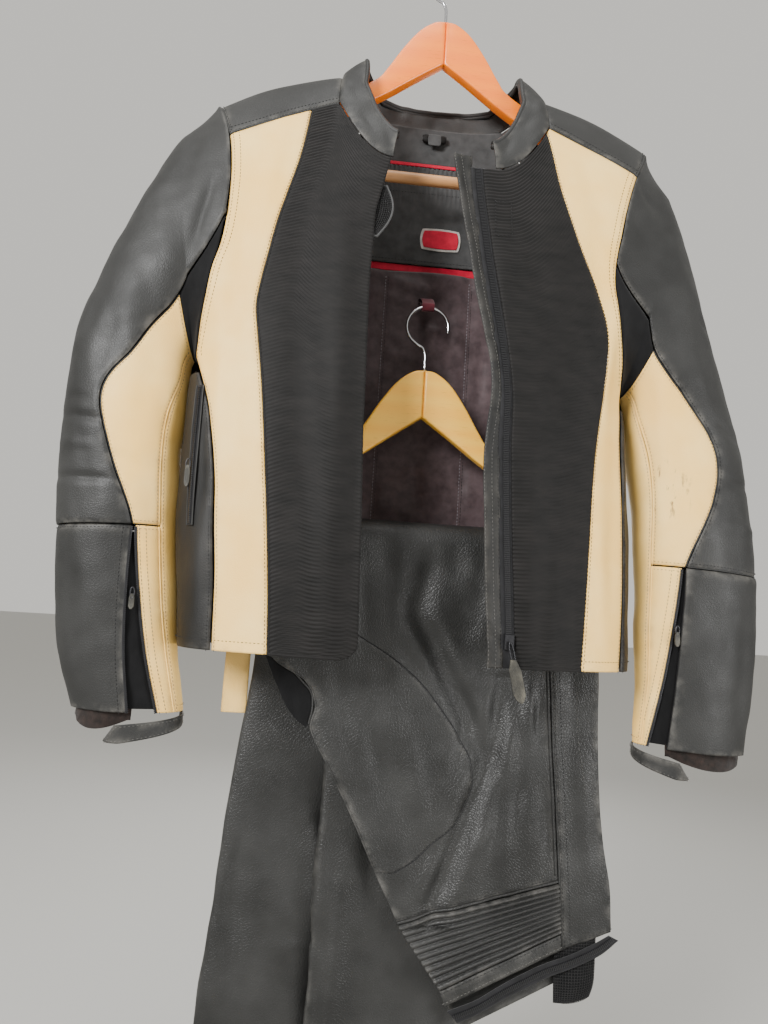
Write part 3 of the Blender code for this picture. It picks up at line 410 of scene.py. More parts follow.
# %% [markdown]
# ## The trousers' form
#
# The folded trousers hang from a bar. Their front layer is described by cross lines, each from its left
# end to its right end, and `over_bar` carries a panel round the bar.


# %% Points on the trousers
def fold_dent(x, z):
    """How far the drape's two largest folds sink."""
    dent = np.zeros(np.shape(x))
    for line in DRAPE_FOLDS:
        near = (z < line[0].z + 20) & (z > line[-1].z - 20)
        away = (x - read(line, "x", z)) / FOLD_WIDTH
        dent = np.maximum(dent, np.where(near, FOLD_DEPTH * np.exp(-away * away), 0))
    return dent * np.clip((-655 - z) / 60, 0, 1)


def layer_front(x, z, out=0.0, dented=True):
    lean = -9 * np.clip((-650 - z) / 400, 0, 1)
    dent = fold_dent(x, z) if dented else 0
    return points(x, LOWER_Y - FOLD_RADIUS + lean + dent - out, z)


def spans_place(spans, u, v):
    """x and z at a share across and a share down the cross lines."""
    row = v * (len(spans) - 1)
    left_x, left_z = along(spans, "left_x", row), along(spans, "left_z", row)
    return (
        mix(left_x, along(spans, "right_x", row), u),
        mix(left_z, along(spans, "right_z", row), u),
    )


def over_bar(x, angle, inset):
    radius = FOLD_RADIUS - inset
    turn = np.radians(angle)
    return points(x, LOWER_Y - radius * np.cos(turn), LOWER_TOP - BAR_DROP + radius * np.sin(turn))


def folded_form(spans, inset, u, v, dented=True):
    """A front piece that starts behind the bar and comes over it."""
    x_top = mix(spans[0].left_x, spans[0].right_x, u)
    top = over_bar(x_top, FOLD_START * (1 - np.minimum(v, OVER_BAR) / OVER_BAR), inset)
    x, z = spans_place(spans, u, np.clip((v - OVER_BAR) / (1 - OVER_BAR), 0, 1))
    return np.where((v < OVER_BAR)[..., None], top, layer_front(x, z, -inset, dented))


print("front of the trousers:", layer_front(0, -800)[1], "mm")

# %% [markdown]
# ## Materials
#
# Every finish is worked out by shader nodes from a real scale in millimetres. Leather is pigmented hide:
# its grain is a net of small cells, it is lighter where it has worn and it shines unevenly. Cloth is
# matt, with a soft sheen. Materials read Object coordinates, or a point attribute named `edge`, which is
# 1 at a panel's seam and fades to 0 inside it. Dirt and wear gather there.


# %% Colour and node helpers
def tint(code):
    """An sRGB hex colour as linear values."""
    shades = [int(code[i : i + 2], 16) / 255 for i in (1, 3, 5)]
    return (*[s / 12.92 if s <= 0.04045 else ((s + 0.055) / 1.055) ** 2.4 for s in shades], 1.0)


def add(tree, kind, inputs=None, **settings):
    """Adds a node with its settings. inputs gives each socket a value or another node's output."""
    made = tree.nodes.new(kind)
    for setting, value in settings.items():
        setattr(made, setting, value)
    for socket, value in (inputs or {}).items():
        if isinstance(value, bpy.types.NodeSocket):
            tree.links.new(value, made.inputs[socket])
        else:
            made.inputs[socket].default_value = value
    return made


def new_material(name, **values):
    """A material, its tree and its shader, with the plain values set on the shader's own sockets."""
    made = bpy.data.materials.new(name)
    made.use_nodes = True
    shader = made.node_tree.nodes["Principled BSDF"]
    for socket, value in values.items():
        shader.inputs[socket.replace("_", " ")].default_value = value
    return made, made.node_tree, shader


def per(millimetres):
    """The scale of a pattern whose repeat is that many millimetres, in Object coordinates."""
    return 1000 / millimetres


def object_place(tree):
    return add(tree, "ShaderNodeTexCoord").outputs["Object"]


def noise(tree, place, size, detail=3.0, roughness=0.55):
    inputs = {"Vector": place, "Scale": per(size), "Detail": detail, "Roughness": roughness}
    return add(tree, "ShaderNodeTexNoise", inputs).outputs["Fac"]


def ramp(tree, factor, low, high):
    """Stretches the factor so that low becomes 0 and high becomes 1."""
    inputs = {"Value": factor, "From Min": low, "From Max": high}
    return add(tree, "ShaderNodeMapRange", inputs, clamp=True).outputs["Result"]


def blended(tree, factor, first, second):
    """A colour between two, each a value or an output."""
    inputs = {0: factor, 6: first, 7: second}
    return add(tree, "ShaderNodeMix", inputs, data_type="RGBA").outputs[2]


def maths(tree, first, second, operation="MULTIPLY"):
    return add(tree, "ShaderNodeMath", {0: first, 1: second}, operation=operation).outputs[0]


def bump(tree, shader, height, distance, strength=1.0, under=None):
    inputs = {"Height": height, "Distance": distance * MM, "Strength": strength}
    if under:
        inputs["Normal"] = under
    made = add(tree, "ShaderNodeBump", inputs).outputs["Normal"]
    tree.links.new(made, shader.inputs["Normal"])
    return made


print("cream as linear:", [round(value, 3) for value in tint("#ecd2a0")])


# %% Leather
def leather(name, dark, light, worn, rough, grain=2.4, grain_depth=0.10, wear=0.5):
    """Pigmented cowhide: a net of grain cells, soft wrinkles, uneven gloss and worn or dirty edges."""
    made, tree, shader = new_material(name, IOR=1.5, Specular_IOR_Level=0.34)
    place = object_place(tree)
    edge = add(tree, "ShaderNodeAttribute", attribute_name="edge").outputs["Fac"]
    colour = blended(tree, ramp(tree, noise(tree, place, 70), 0.35, 0.68), tint(dark), tint(light))
    rubbed = maths(tree, ramp(tree, noise(tree, place, 14, 5), 0.42, 0.7), edge)
    colour = blended(tree, maths(tree, rubbed, wear), colour, tint(worn))
    tree.links.new(colour, shader.inputs["Base Color"])
    shine = ramp(tree, noise(tree, place, 30), 0.3, 0.75)
    gloss = add(tree, "ShaderNodeMapRange", {"Value": shine, "To Min": rough[0], "To Max": rough[1]})
    tree.links.new(gloss.outputs["Result"], shader.inputs["Roughness"])
    cells = add(
        tree, "ShaderNodeTexVoronoi", {"Vector": place, "Scale": per(grain), "Randomness": 1.0},
        feature="DISTANCE_TO_EDGE",
    ).outputs["Distance"]
    wrinkles = bump(tree, shader, noise(tree, place, 11, 4), 0.3, 0.5)
    bump(tree, shader, ramp(tree, cells, 0.0, 0.22), grain_depth, 0.8, wrinkles)
    return made


# full-grain cowhide, dyed black: a low, broken shine and lighter rubbed seams
BLACK_LEATHER = leather("black cowhide", "#1e1e1d", "#2c2c2b", "#716e68", (0.46, 0.62))
# the same hide on the trousers, softer and shinier, with a grain that shows
TROUSER_LEATHER = leather("soft black cowhide", "#1c1c1b", "#2d2d2c", "#64625e", (0.38, 0.52), 2.6, 0.2, 0.5)
# the thin dull hide that faces the zip; the side panels take it too, where it is darker than their black
# hide as painted shade under the arms
FLAP_HIDE_AND_SIDE_SHADE = leather("thin dull cowhide and painted side shade", "#121211", "#201f1d", "#4a4742", (0.5, 0.66), 2.0, 0.10, 0.5)
# smooth cream hide: matt, with brown handling marks along its seams
CREAM_LEATHER = leather("cream cowhide", "#fbca6c", "#ffd783", "#b08a5c", (0.46, 0.64), 2.0, 0.07, 0.45)
print("leathers:", BLACK_LEATHER.name, CREAM_LEATHER.name)


# %% Scuffed leather
def scuffed(base, name, centre, reach, mark):
    """A copy of a leather with dark scuffs round one place, as scraped grain shows its brown core."""
    made = base.copy()
    made.name = name
    tree = made.node_tree
    shader = tree.nodes["Principled BSDF"]
    colour = shader.inputs["Base Color"].links[0].from_socket
    place = object_place(tree)
    offset = add(tree, "ShaderNodeVectorMath", {0: place, 1: [c * MM for c in centre]}, operation="SUBTRACT")
    sized = add(
        tree, "ShaderNodeVectorMath", {0: offset.outputs[0], 1: [per(r) for r in reach]},
        operation="MULTIPLY",
    )
    away = add(tree, "ShaderNodeVectorMath", {0: sized.outputs[0]}, operation="LENGTH").outputs["Value"]
    near = ramp(tree, away, 1.0, 0.35)
    turned = add(tree, "ShaderNodeMapping", {"Vector": place, "Rotation": (0, radians(38), 0)})
    turned.inputs["Scale"].default_value = (1.0, 1.0, 0.28)
    scraped = ramp(tree, noise(tree, turned.outputs[0], 5.5, 6, 0.7), 0.56, 0.63)
    tree.links.new(
        blended(tree, maths(tree, scraped, near), colour, tint(mark)), shader.inputs["Base Color"]
    )
    return made


SCUFFED_CREAM = scuffed(CREAM_LEATHER, "scuffed cream cowhide", (240, -40, -572), (30, 60, 34), "#4d2f22")
print("scuffs on:", SCUFFED_CREAM.name)


# %% Cloths
def woven(name, dark, light, thread, rough=0.8, sheen=0.25, depth=0.12, stretch=(1, 1, 1)):
    """Plain cloth: fine threads as noise drawn out along the piece, with a soft sheen from loose fibres."""
    made, tree, shader = new_material(
        name, Roughness=rough, Sheen_Weight=sheen, Sheen_Roughness=0.5, Specular_IOR_Level=0.2
    )
    place = add(tree, "ShaderNodeMapping", {"Vector": object_place(tree), "Scale": stretch}).outputs[0]
    mottle = ramp(tree, noise(tree, place, thread * 9), 0.3, 0.7)
    fine = noise(tree, place, thread, 2)
    tree.links.new(blended(tree, mottle, tint(dark), tint(light)), shader.inputs["Base Color"])
    bump(tree, shader, fine, depth, 0.8)
    return made


# ribbed nylon: each rib is wound with thread, so its sheen is broken along the rib
RIBBED = woven("ribbed nylon", "#0c0b0a", "#171514", 1.1, 0.66, 0.05, 0.12, (0.35, 1, 1))
# stretch knit: matt and nearly black, with short vertical loops
KNIT = woven("stretch knit", "#0a0a0b", "#121213", 1.0, 0.9, 0.05, 0.15, (1, 1, 0.5))
# satin lining: a smooth aubergine weave with long soft highlights
SATIN = woven("aubergine satin", "#433739", "#584a4c", 1.0, 0.42, 0.2, 0.02)
# twill facing of the neck
FACING = woven("grey twill", "#3a3a3a", "#4a4a4a", 1.2, 0.85, 0.2)
# polyester trims
RED = woven("red polyester", "#b30f2e", "#d01a3c", 0.9, 0.5, 0.2)
MAROON = woven("maroon ribbon", "#3f0b16", "#5a1422", 0.8, 0.55, 0.2)
TAPE = woven("zip tape", "#141415", "#202022", 0.9, 0.75, 0.1)
NET = woven("polyester net", "#101010", "#1c1b1b", 1.0, 0.7, 0.1)
# hook and loop tape: a deep fuzzy pile, with lint caught in it
PILE = woven("hook and loop pile", "#14100e", "#2c221e", 0.8, 0.95, 0.2, 0.5)
BLACK_THREAD = woven("black thread", "#101011", "#1c1c1d", 0.5, 0.6, 0.1, 0.02)
GREY_THREAD = woven("grey thread", "#4b4a48", "#62605c", 0.5, 0.6, 0.1, 0.02)
CREAM_THREAD = woven("cream thread", "#6d5a44", "#8a7458", 0.5, 0.6, 0.1, 0.02)
PALE_THREAD = woven("pale thread", "#8b8890", "#a5a2a8", 0.5, 0.6, 0.1, 0.02)
print("cloths:", RIBBED.name, KNIT.name, SATIN.name, FACING.name)


# %% Woods and metals
def wood(name, early, late, knot, rough, centre):
    """Varnished beech: rings drawn out along the arm, short dark flecks and a clear coat."""
    made, tree, shader = new_material(name, Roughness=rough, Coat_Weight=0.35, Coat_Roughness=0.2)
    shift = [-c * MM for c in centre]
    moved = add(tree, "ShaderNodeMapping", {"Vector": object_place(tree), "Location": shift})
    bent = add(tree, "ShaderNodeMapping", {"Vector": moved.outputs[0], "Scale": (0.16, 1, 1)}).outputs[0]
    rings = add(
        tree, "ShaderNodeTexWave",
        {"Vector": bent, "Scale": per(60), "Distortion": 5.0, "Detail": 3.0, "Detail Scale": 1.2},
        bands_direction="Z",
    ).outputs["Fac"]
    flecks = add(tree, "ShaderNodeMapping", {"Vector": moved.outputs[0], "Scale": (0.12, 1, 1)}).outputs[0]
    fleck = ramp(tree, noise(tree, flecks, 1.6, 2), 0.60, 0.72)
    colour = blended(tree, maths(tree, rings, 0.45), tint(early), tint(late))
    colour = blended(tree, maths(tree, fleck, 0.35), colour, tint(knot))
    tree.links.new(colour, shader.inputs["Base Color"])
    bump(tree, shader, rings, 0.05, 0.3)
    return made


def metal(name, colour, rough, scratch):
    """Plated metal: a mirror-like coat broken by fine scratches."""
    made, tree, shader = new_material(name, Base_Color=tint(colour), Metallic=1.0)
    mark = noise(tree, object_place(tree), scratch, 4)
    spread = add(tree, "ShaderNodeMapRange", {"Value": mark, "To Min": rough * 0.7, "To Max": rough * 1.5})
    tree.links.new(spread.outputs["Result"], shader.inputs["Roughness"])
    return made


ORANGE_WOOD = wood("orange varnished beech", "#ff8200", "#f26f00", "#b85200", 0.36, (0, 0, -120))
PALE_WOOD = wood("pale varnished beech", "#ffc44a", "#fcae30", "#cc8420", 0.36, (0, 12, -510))
DOWEL = wood("bare ramin dowel", "#c9935f", "#b37c49", "#8d5c33", 0.55, (0, 0, 0))
# bright chrome on steel wire
CHROME = metal("chrome plated wire", "#c9c9cc", 0.14, 3)
# blackened zinc of zips
GUNMETAL = metal("blackened zinc", "#3c3c3e", 0.38, 2)
# moulded nylon coil of the zips
COIL = new_material("black nylon coil", Roughness=0.38, Base_Color=tint("#1a1a1c"))[0]
print("woods and metals:", ORANGE_WOOD.name, CHROME.name)

# %% [markdown]
# ## One way to make a cloth wall
#
# A panel is a grid of points on its form. `cloth` measures the grid, lowers the surface along each sewn
# edge, because thread pulls a seam down, adds the creases along the surface's own normals and gives the
# sheet its thickness with a Solidify modifier. It returns the grid as well, so that stitches and piping
# can follow it.

# %% The cloth maker
Panel = namedtuple("Panel", "thing places normals left right top bottom")
Crease = namedtuple("Crease", "x1 z1 x2 z2 width depth")
SEAM_DIP, SEAM_SPREAD = 0.9, 2.2
EDGE_FADE = 5.0
END_PULL = 0.6
MOST_ACROSS, MOST_DOWN = 200, 900
LEAST_FLAT = 0.0101

# %% Objects, meshes and bodies
def linked(name, data):
    """A new object in the scene, at the origin."""
    thing = bpy.data.objects.new(name, data)
    bpy.context.scene.collection.objects.link(thing)
    return thing


def finished_mesh(thing):
    """A plain mesh of what an object's modifiers and curve settings make."""
    bpy.context.view_layer.update()
    return bpy.data.meshes.new_from_object(thing.evaluated_get(bpy.context.evaluated_depsgraph_get()))


def belongs(thing, body_name="suit", node=None):
    """Puts a piece on its body and, if it has one, in the place of its CAD node."""
    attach(thing, body_name)
    if node:
        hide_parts(node)
    return thing


def thicken(thing, wall):
    """Gives a sheet its wall, inwards from the face that shows."""
    thick = thing.modifiers.new("cloth thickness", "SOLIDIFY")
    thick.thickness = wall * MM
    thick.offset = -1

# %% Measuring a panel
def even(count):
    """Shares from 0 to 1 at equal steps."""
    return np.linspace(0, 1, count + 1)


def denser_ends(count):
    """Shares from 0 to 1 that lie closer together near both ends, where the seams dip."""
    t = even(count)
    return (1 - END_PULL) * t + END_PULL * (3 * t**2 - 2 * t**3)


def lengths(places, axis):
    """How far each point is along its row or column, in millimetres."""
    gaps = np.linalg.norm(np.diff(places, axis=axis), axis=-1)
    pad = [(0, 0), (0, 0)]
    pad[axis] = (1, 0)
    return np.cumsum(np.pad(gaps, pad), axis=axis)

# %% Creases and bumps
def creases(*rows):
    """Soft troughs along short lines, each a row of x1, z1, x2, z2, width and depth, in millimetres.

    Each is a valley with low shoulders, and a depth below 0 is a ridge.
    """
    table = rows_of(Crease, *rows)

    def relief(p):
        total = np.zeros(p.shape[:-1])
        for c in table:
            run_x, run_z = c.x2 - c.x1, c.z2 - c.z1
            t = ((p[..., 0] - c.x1) * run_x + (p[..., 2] - c.z1) * run_z) / (run_x**2 + run_z**2)
            t = np.clip(t, 0, 1)
            away = np.hypot(p[..., 0] - c.x1 - t * run_x, p[..., 2] - c.z1 - t * run_z) / c.width
            valley = np.exp(-(away**2)) * (1 - 0.5 * away**2)
            total -= c.depth * valley * (0.2 + 0.8 * np.sin(pi * t))
        return total

    return relief


def uneven(p, size, seed):
    """Soft bumps of about that size, from about -1 to 1, the same each run."""
    rng = np.random.default_rng(seed)
    total = np.zeros(p.shape[:-1])
    for _ in range(8):
        way = rng.normal(size=3)
        way /= np.linalg.norm(way)
        total += np.sin(p @ way * 2 * pi / (size * rng.uniform(1.4, 3.2)) + rng.uniform(0, 2 * pi))
    return total / 4

# %% From a form to a wall of cloth
def set_values(mesh, name, values):
    """Keeps one number for each point of the mesh, for a material or a node tree to read."""
    made = mesh.attributes.new(name, "FLOAT", "POINT")
    made.data.foreach_set("value", np.asarray(values, np.float32).ravel())


def cloth(name, form, inside, finish, wall=LEATHER, cell=4.0, relief=None, sewn="lrtb"):
    """A panel on its form, seen from a point inside. sewn names the borders that thread pulls down."""
    rough = form(*np.meshgrid(even(14), even(14)))
    cell_across, cell_down = cell if isinstance(cell, tuple) else (cell, cell)
    across = int(np.clip(lengths(rough, 1)[:, -1].max() / cell_across, 4, MOST_ACROSS))
    down = int(np.clip(lengths(rough, 0)[-1].max() / cell_down, 4, MOST_DOWN))
    places = form(*np.meshgrid(denser_ends(across), denser_ends(down)))
    left, top = lengths(places, 1), lengths(places, 0)
    right, bottom = left[:, -1:] - left, top[-1:] - top
    normals = np.cross(np.gradient(places, axis=1), np.gradient(places, axis=0))
    normals /= np.maximum(np.linalg.norm(normals, axis=-1, keepdims=True), 1e-9)
    middle = (down // 2, across // 2)
    if normals[middle] @ (places[middle] - np.array(inside)) < 0:
        normals = -normals
    lift = np.zeros(left.shape)
    for letter, away in zip("lrtb", (left, right, top, bottom)):
        if letter in sewn:
            lift -= SEAM_DIP * np.exp(-((away / SEAM_SPREAD) ** 2))
    if relief:
        lift += relief(places)
    places = places + normals * lift[..., None]
    numbers = np.arange((across + 1) * (down + 1)).reshape(down + 1, across + 1)
    quads = np.stack([numbers[:-1, :-1], numbers[:-1, 1:], numbers[1:, 1:], numbers[1:, :-1]], -1)
    quads = quads.reshape(-1, 4)
    flat = places.reshape(-1, 3)
    a, b, c, _ = (flat[quads[len(quads) // 2 + across // 2][k]] for k in range(4))
    if np.cross(b - a, c - b) @ normals[middle] < 0:
        quads = quads[:, ::-1]
    mesh = bpy.data.meshes.new(name)
    mesh.from_pydata(flat * MM, [], quads.tolist())
    cut = mesh.uv_layers.new(name="cloth")
    corners = quads.ravel()
    spread = np.stack([left.ravel()[corners], -top.ravel()[corners]], -1) * MM
    cut.data.foreach_set("uv", spread.astype(np.float32).ravel())
    nearest = np.minimum(np.minimum(left, right), np.minimum(top, bottom))
    set_values(mesh, "edge", np.exp(-((nearest / EDGE_FADE) ** 2)))
    set_values(mesh, "down", top)
    mesh.shade_smooth()
    mesh.materials.append(finish)
    thing = linked(name, mesh)
    if wall:
        thicken(thing, wall)
    return Panel(thing, places, normals, left, right, top, bottom)


# %% [markdown]
# ## A panel in place of its CAD node
#
# Each panel takes the place of one plain CAD node. The size that it was cut to is its own length and width,
# measured along the cloth. A long curved piece fills little of that rectangle, so its narrower side is worked
# out from its area instead. Gathered cloth was cut longer than it lies.


# %% What a panel stands for
FULL_ENOUGH, CURVED_SHARE = 0.45, 0.5
CUTS = {}


def dress(panel, node, gathered=1.0):
    """Puts a panel on its body in place of its CAD node and keeps the size it was cut to."""
    thing = belongs(panel.thing, node=node)
    width, length = panel.left[:, -1].max() * MM, panel.top[-1].max() * MM
    if min(width, length) >= LEAST_FLAT:
        area = area_of(panel) * MM * MM
        if area < FULL_ENOUGH * width * length:
            long_side, short_side = max(width, length), area / (CURVED_SHARE * max(width, length))
            width, length = (long_side, short_side) if width > length else (short_side, long_side)
        width, area = width * gathered, min(width * length, area) * gathered
        CUTS[thing.name] = (round(width * 1000), round(length * 1000))
    return panel


def area_of(panel):
    """The panel's own area in square millimetres."""
    p = panel.places
    one = np.cross(p[:-1, 1:] - p[:-1, :-1], p[1:, :-1] - p[:-1, :-1])
    two = np.cross(p[1:, :-1] - p[1:, 1:], p[:-1, 1:] - p[1:, 1:])
    return (np.linalg.norm(one, axis=-1) + np.linalg.norm(two, axis=-1)).sum() / 2


print("seams dip", SEAM_DIP, "mm")

# %% [markdown]
# ## Lines on a panel
#
# Thread runs at a set distance from a seam. `beside` walks down a panel at that distance from one border,
# and `seams` keeps every such line until all stitches of one thread are made together.


# %% Lines beside a seam
def beside(panel, border, distance, lift=0.15, start=0.0, end=1.0):
    """Points at a distance from a border, from a share of its length to another."""
    p = panel.places + panel.normals * lift
    away = getattr(panel, {"l": "left", "r": "right", "t": "top", "b": "bottom"}[border])
    if border in "tb":
        p, away = p.transpose(1, 0, 2), away.T
    if border in "rb":
        p, away = p[:, ::-1], away[:, ::-1]
    line = np.array(
        [[np.interp(distance, row_away, row[:, k]) for k in range(3)] for row, row_away in zip(p, away)]
    )
    first, last = int(start * (len(line) - 1)), int(np.ceil(end * (len(line) - 1)))
    return line[first : last + 1]


seams = {"black": [], "grey": [], "cream": [], "pale": []}


def stitch(panel, thread, *rows, start=0.0, end=1.0):
    """Rows of stitches, each a border's letter and a distance from it."""
    for border, distance in rows:
        seams[thread].append(beside(panel, border, distance, start=start, end=end))


def on_panel(panel, route, lift=0.2, count=40):
    """A smooth line on a panel through shares across and down it."""
    route = np.array(route, float)
    steps = np.linspace(0, len(route) - 1, count)
    u, v = (smooth_read(range(len(route)), route[:, k], steps) for k in range(2))
    rows, columns = panel.places.shape[:2]
    shares_u, shares_v = denser_ends(columns - 1), denser_ends(rows - 1)
    i = np.interp(np.clip(u, 0, 1), shares_u, range(columns))
    j = np.interp(np.clip(v, 0, 1), shares_v, range(rows))
    i0, j0 = np.minimum(i.astype(int), columns - 2), np.minimum(j.astype(int), rows - 2)
    fi, fj = (i - i0)[:, None], (j - j0)[:, None]
    p = panel.places + panel.normals * lift
    above = p[j0, i0] * (1 - fi) + p[j0, i0 + 1] * fi
    below = p[j0 + 1, i0] * (1 - fi) + p[j0 + 1, i0 + 1] * fi
    return above * (1 - fj) + below * fj


print("threads:", list(seams))

# %% [markdown]
# ## Ribs by Geometry Nodes
#
# The fronts are a ribbed nylon and the lumbar panel is gathered over elastic cords. Both follow one rule:
# the cloth rises and falls as a row of half circles down its length. A node tree moves each point along
# its normal by the sine of its distance down the panel, so one pitch and one depth say everything.


# %% Rib tree
def tree_with(name, *inputs):
    """A Geometry Nodes tree with a geometry in and out, and named inputs."""
    tree = bpy.data.node_groups.new(name, "GeometryNodeTree")
    tree.interface.new_socket("Geometry", in_out="INPUT", socket_type="NodeSocketGeometry")
    tree.interface.new_socket("Geometry", in_out="OUTPUT", socket_type="NodeSocketGeometry")
    for label, kind in inputs:
        tree.interface.new_socket(label, in_out="INPUT", socket_type=kind)
    source = add(tree, "NodeGroupInput")
    return tree, source.outputs, add(tree, "NodeGroupOutput")


def finish_tree(tree, geometry, material, output):
    real = add(tree, "GeometryNodeRealizeInstances", {0: geometry}).outputs[0]
    named = add(tree, "GeometryNodeSetMaterial", {"Geometry": real, "Material": material}).outputs[0]
    tree.links.new(named, output.inputs[0])


def rib_tree():
    tree, given, output = tree_with(
        "ribs", ("Pitch", "NodeSocketFloat"), ("Depth", "NodeSocketFloat"), ("Material", "NodeSocketMaterial")
    )
    down = add(tree, "GeometryNodeInputNamedAttribute", {"Name": "down"}, data_type="FLOAT").outputs[0]
    phase = maths(tree, maths(tree, down, given["Pitch"], "DIVIDE"), pi)
    wave = maths(tree, maths(tree, phase, 0.0, "SINE"), 0.0, "ABSOLUTE")
    rounded = maths(tree, maths(tree, wave, 0.7, "POWER"), given["Depth"])
    normal = add(tree, "GeometryNodeInputNormal").outputs[0]
    move = add(tree, "ShaderNodeVectorMath", {0: normal, "Scale": rounded}, operation="SCALE").outputs[0]
    moved = add(tree, "GeometryNodeSetPosition", {"Geometry": given["Geometry"], "Offset": move}).outputs[0]
    finish_tree(tree, moved, given["Material"], output)
    return tree

# %% Running a tree
def run_tree(thing, tree, **values):
    """Runs a tree on an object and leaves the result as its plain mesh."""
    made = thing.modifiers.new("nodes", "NODES")
    made.node_group = tree
    for item in tree.interface.items_tree:
        label = item.name.replace(" ", "_")
        if item.item_type == "SOCKET" and item.in_out == "INPUT" and label in values:
            made[item.identifier] = values[label]
    result = finished_mesh(thing)
    thing.modifiers.remove(made)
    old = thing.data
    thing.data = result
    result.name = thing.name
    bpy.data.meshes.remove(old)


RIB_TREE = rib_tree()


def ribbed(panel, pitch, depth, wall):
    """Raises a panel's ribs and then gives it its wall."""
    thing = panel.thing
    run_tree(thing, RIB_TREE, Pitch=pitch, Depth=depth * MM, Material=thing.data.materials[0])
    thicken(thing, wall)


print("rib tree nodes:", len(RIB_TREE.nodes))

# %% [markdown]
# ## Fronts
#
# Each front has a ribbed nylon panel and a cream hide panel, lock-stitched twice beside the armhole. The
# hide keeps long soft troughs where it hung on a rail, and the left one folds under the arm.

# %% Front panels
RIB_PITCH = 3.7  # the real rib is finer: this is as coarse as it needs to show
RIB_HEIGHT = 1.1
TOP_GUESS, ROUNDS = -230.0, 6  # a panel's top depends on its width there, so it is found in rounds
front_creases = creases(
    (-187, -255, -192, -470, 16, 2.2), (-186, -480, -168, -720, 13, 1.8),
    (-160, -230, -172, -330, 9, -1.2), (-205, -420, -196, -560, 10, -1.6),
    (-150, -600, -160, -735, 9, 1.0), (-137, -300, -110, -735, 20, 2.4), (-96, -290, -84, -720, 14, -2.2),
    (-70, -520, -66, -740, 10, 1.6), (78, -300, 120, -520, 18, 2.6), (120, -500, 128, -735, 16, 2.0),
    (95, -480, 92, -735, 11, -2.0), (150, -330, 172, -425, 11, 2.6), (176, -400, 166, -520, 9, -2.4),
    (186, -470, 176, -700, 13, 2.0), (140, -235, 168, -330, 13, 1.8), (160, -560, 172, -735, 10, -1.4),
    (60, -330, 66, -560, 7, -1.2),
)


def front_relief(p):
    return front_creases(p) + 0.7 * uneven(p, 46, 3)


def front_form(sign, near, far, top=front_top):
    """A strip of the front between two borders, each a distance from the middle at height z."""

    def form(u, v):
        z_top = np.full(u.shape, TOP_GUESS)
        for _ in range(ROUNDS):
            z_top = top(mix(near(z_top) + SEAM, far(z_top) - SEAM, u)) - SEAM
        z = mix(z_top, HEM, v)
        return body(sign * mix(near(z) + SEAM, far(z) - SEAM, u), z, -1)

    return form


def zip_line(z):
    return read(FRONT_EDGE, "left", z)


FRONT_MIDDLE = (0, 0, -450)  # a point inside the jacket, which tells a panel's two faces apart
CORNER = 16.0  # radius of the right front's lower corner
fronts = {}


def front_edge(side, zipped):
    def edge(z):
        rounded = np.clip((HEM + CORNER - z) / CORNER, 0, 1) if side == "right" else 0 * z
        return read(FRONT_EDGE, side, z) + zipped + CORNER * (1 - np.sqrt(1 - rounded**2))

    return edge

# %% Ribbed and cream fronts
for side, sign in SIDES:
    edge = front_edge(side, ZIP_HALF if sign > 0 else 0)
    border = lambda z, side=side: read(CREAM_INNER, side, z)
    seam = lambda z, side=side: cream_outer(z, side)
    nylon = cloth(
        f"ribbed_front_{side}", front_form(sign, edge, border), FRONT_MIDDLE, RIBBED, 0,
        (5.0, RIB_PITCH / 4), front_relief, "rt" if sign < 0 else "lrt",
    )
    ribbed(nylon, RIB_PITCH, RIB_HEIGHT, TEXTILE)
    dress(nylon, f"jacket_textile_front_{side}")
    stitch(nylon, "black", ("b", 14))
    if sign < 0:
        stitch(nylon, "black", ("l", 7))
    hide = cloth(
        f"cream_front_{side}", front_form(sign, border, seam), FRONT_MIDDLE, CREAM_LEATHER,
        relief=front_relief, sewn="lrt",
    )
    dress(hide, f"jacket_cream_front_{side}")
    stitch(hide, "black", ("r", 3.5), ("r", 9.5), end=0.46)
    stitch(hide, "black", ("l", 2.2), ("b", 9))
    stitch(hide, "grey", ("r", 2.5), start=0.5)
    fronts[side] = (nylon, hide)
print("front panels:", {side: pair[0].places.shape for side, pair in fronts.items()})

# %% [markdown]
# ## The front zip
#
# The left front carries the zip: a woven tape, a coil of nylon teeth and a soft leather flap behind it
# that keeps the wind out. The flap rolls a little, because its edge is folded over and sewn.

# %% Zip tape and flap
zip_tape = cloth(
    "front_zip_tape",
    front_form(1, lambda z: zip_line(z) - ZIP_HALF - 2, lambda z: zip_line(z) + ZIP_HALF + 2),
    FRONT_MIDDLE, TAPE, TEXTILE, 2.5, lambda p: front_relief(p) - 0.9, "",
)
dress(zip_tape, "jacket_zip_tape")
flap_creases = creases(
    (12, -262, 30, -300, 6, 1.6), (20, -330, 42, -352, 5, 1.4), (30, -372, 50, -380, 6, 1.2),
    (44, -450, 60, -440, 7, 1.8), (50, -500, 62, -520, 6, 1.5), (49, -560, 62, -552, 6, 1.2),
    (50, -610, 64, -622, 6, 1.6), (52, -670, 70, -664, 7, 1.0), (56, -720, 72, -730, 5, 1.2),
)


def flap_relief(p):
    hem = np.abs(p[..., 0] - read(FLAP_EDGE, "x", p[..., 2]) - 4)
    return flap_creases(p) + 1.3 * np.exp(-((hem / 4) ** 2)) + 0.8 * uneven(p, 26, 5)


flap = cloth(
    "zip_flap",
    front_form(1, lambda z: read(FLAP_EDGE, "x", z), lambda z: zip_line(z) - ZIP_HALF, lambda x: 0 * x - 252),
    FRONT_MIDDLE, FLAP_HIDE_AND_SIDE_SHADE, LEATHER, (2.0, 3.0), flap_relief, "r",
)
dress(flap, "jacket_zip_flap")
stitch(flap, "grey", ("l", 1.2), ("l", 8))
stitch(flap, "black", ("r", 2.0))
print("flap grid:", flap.places.shape)
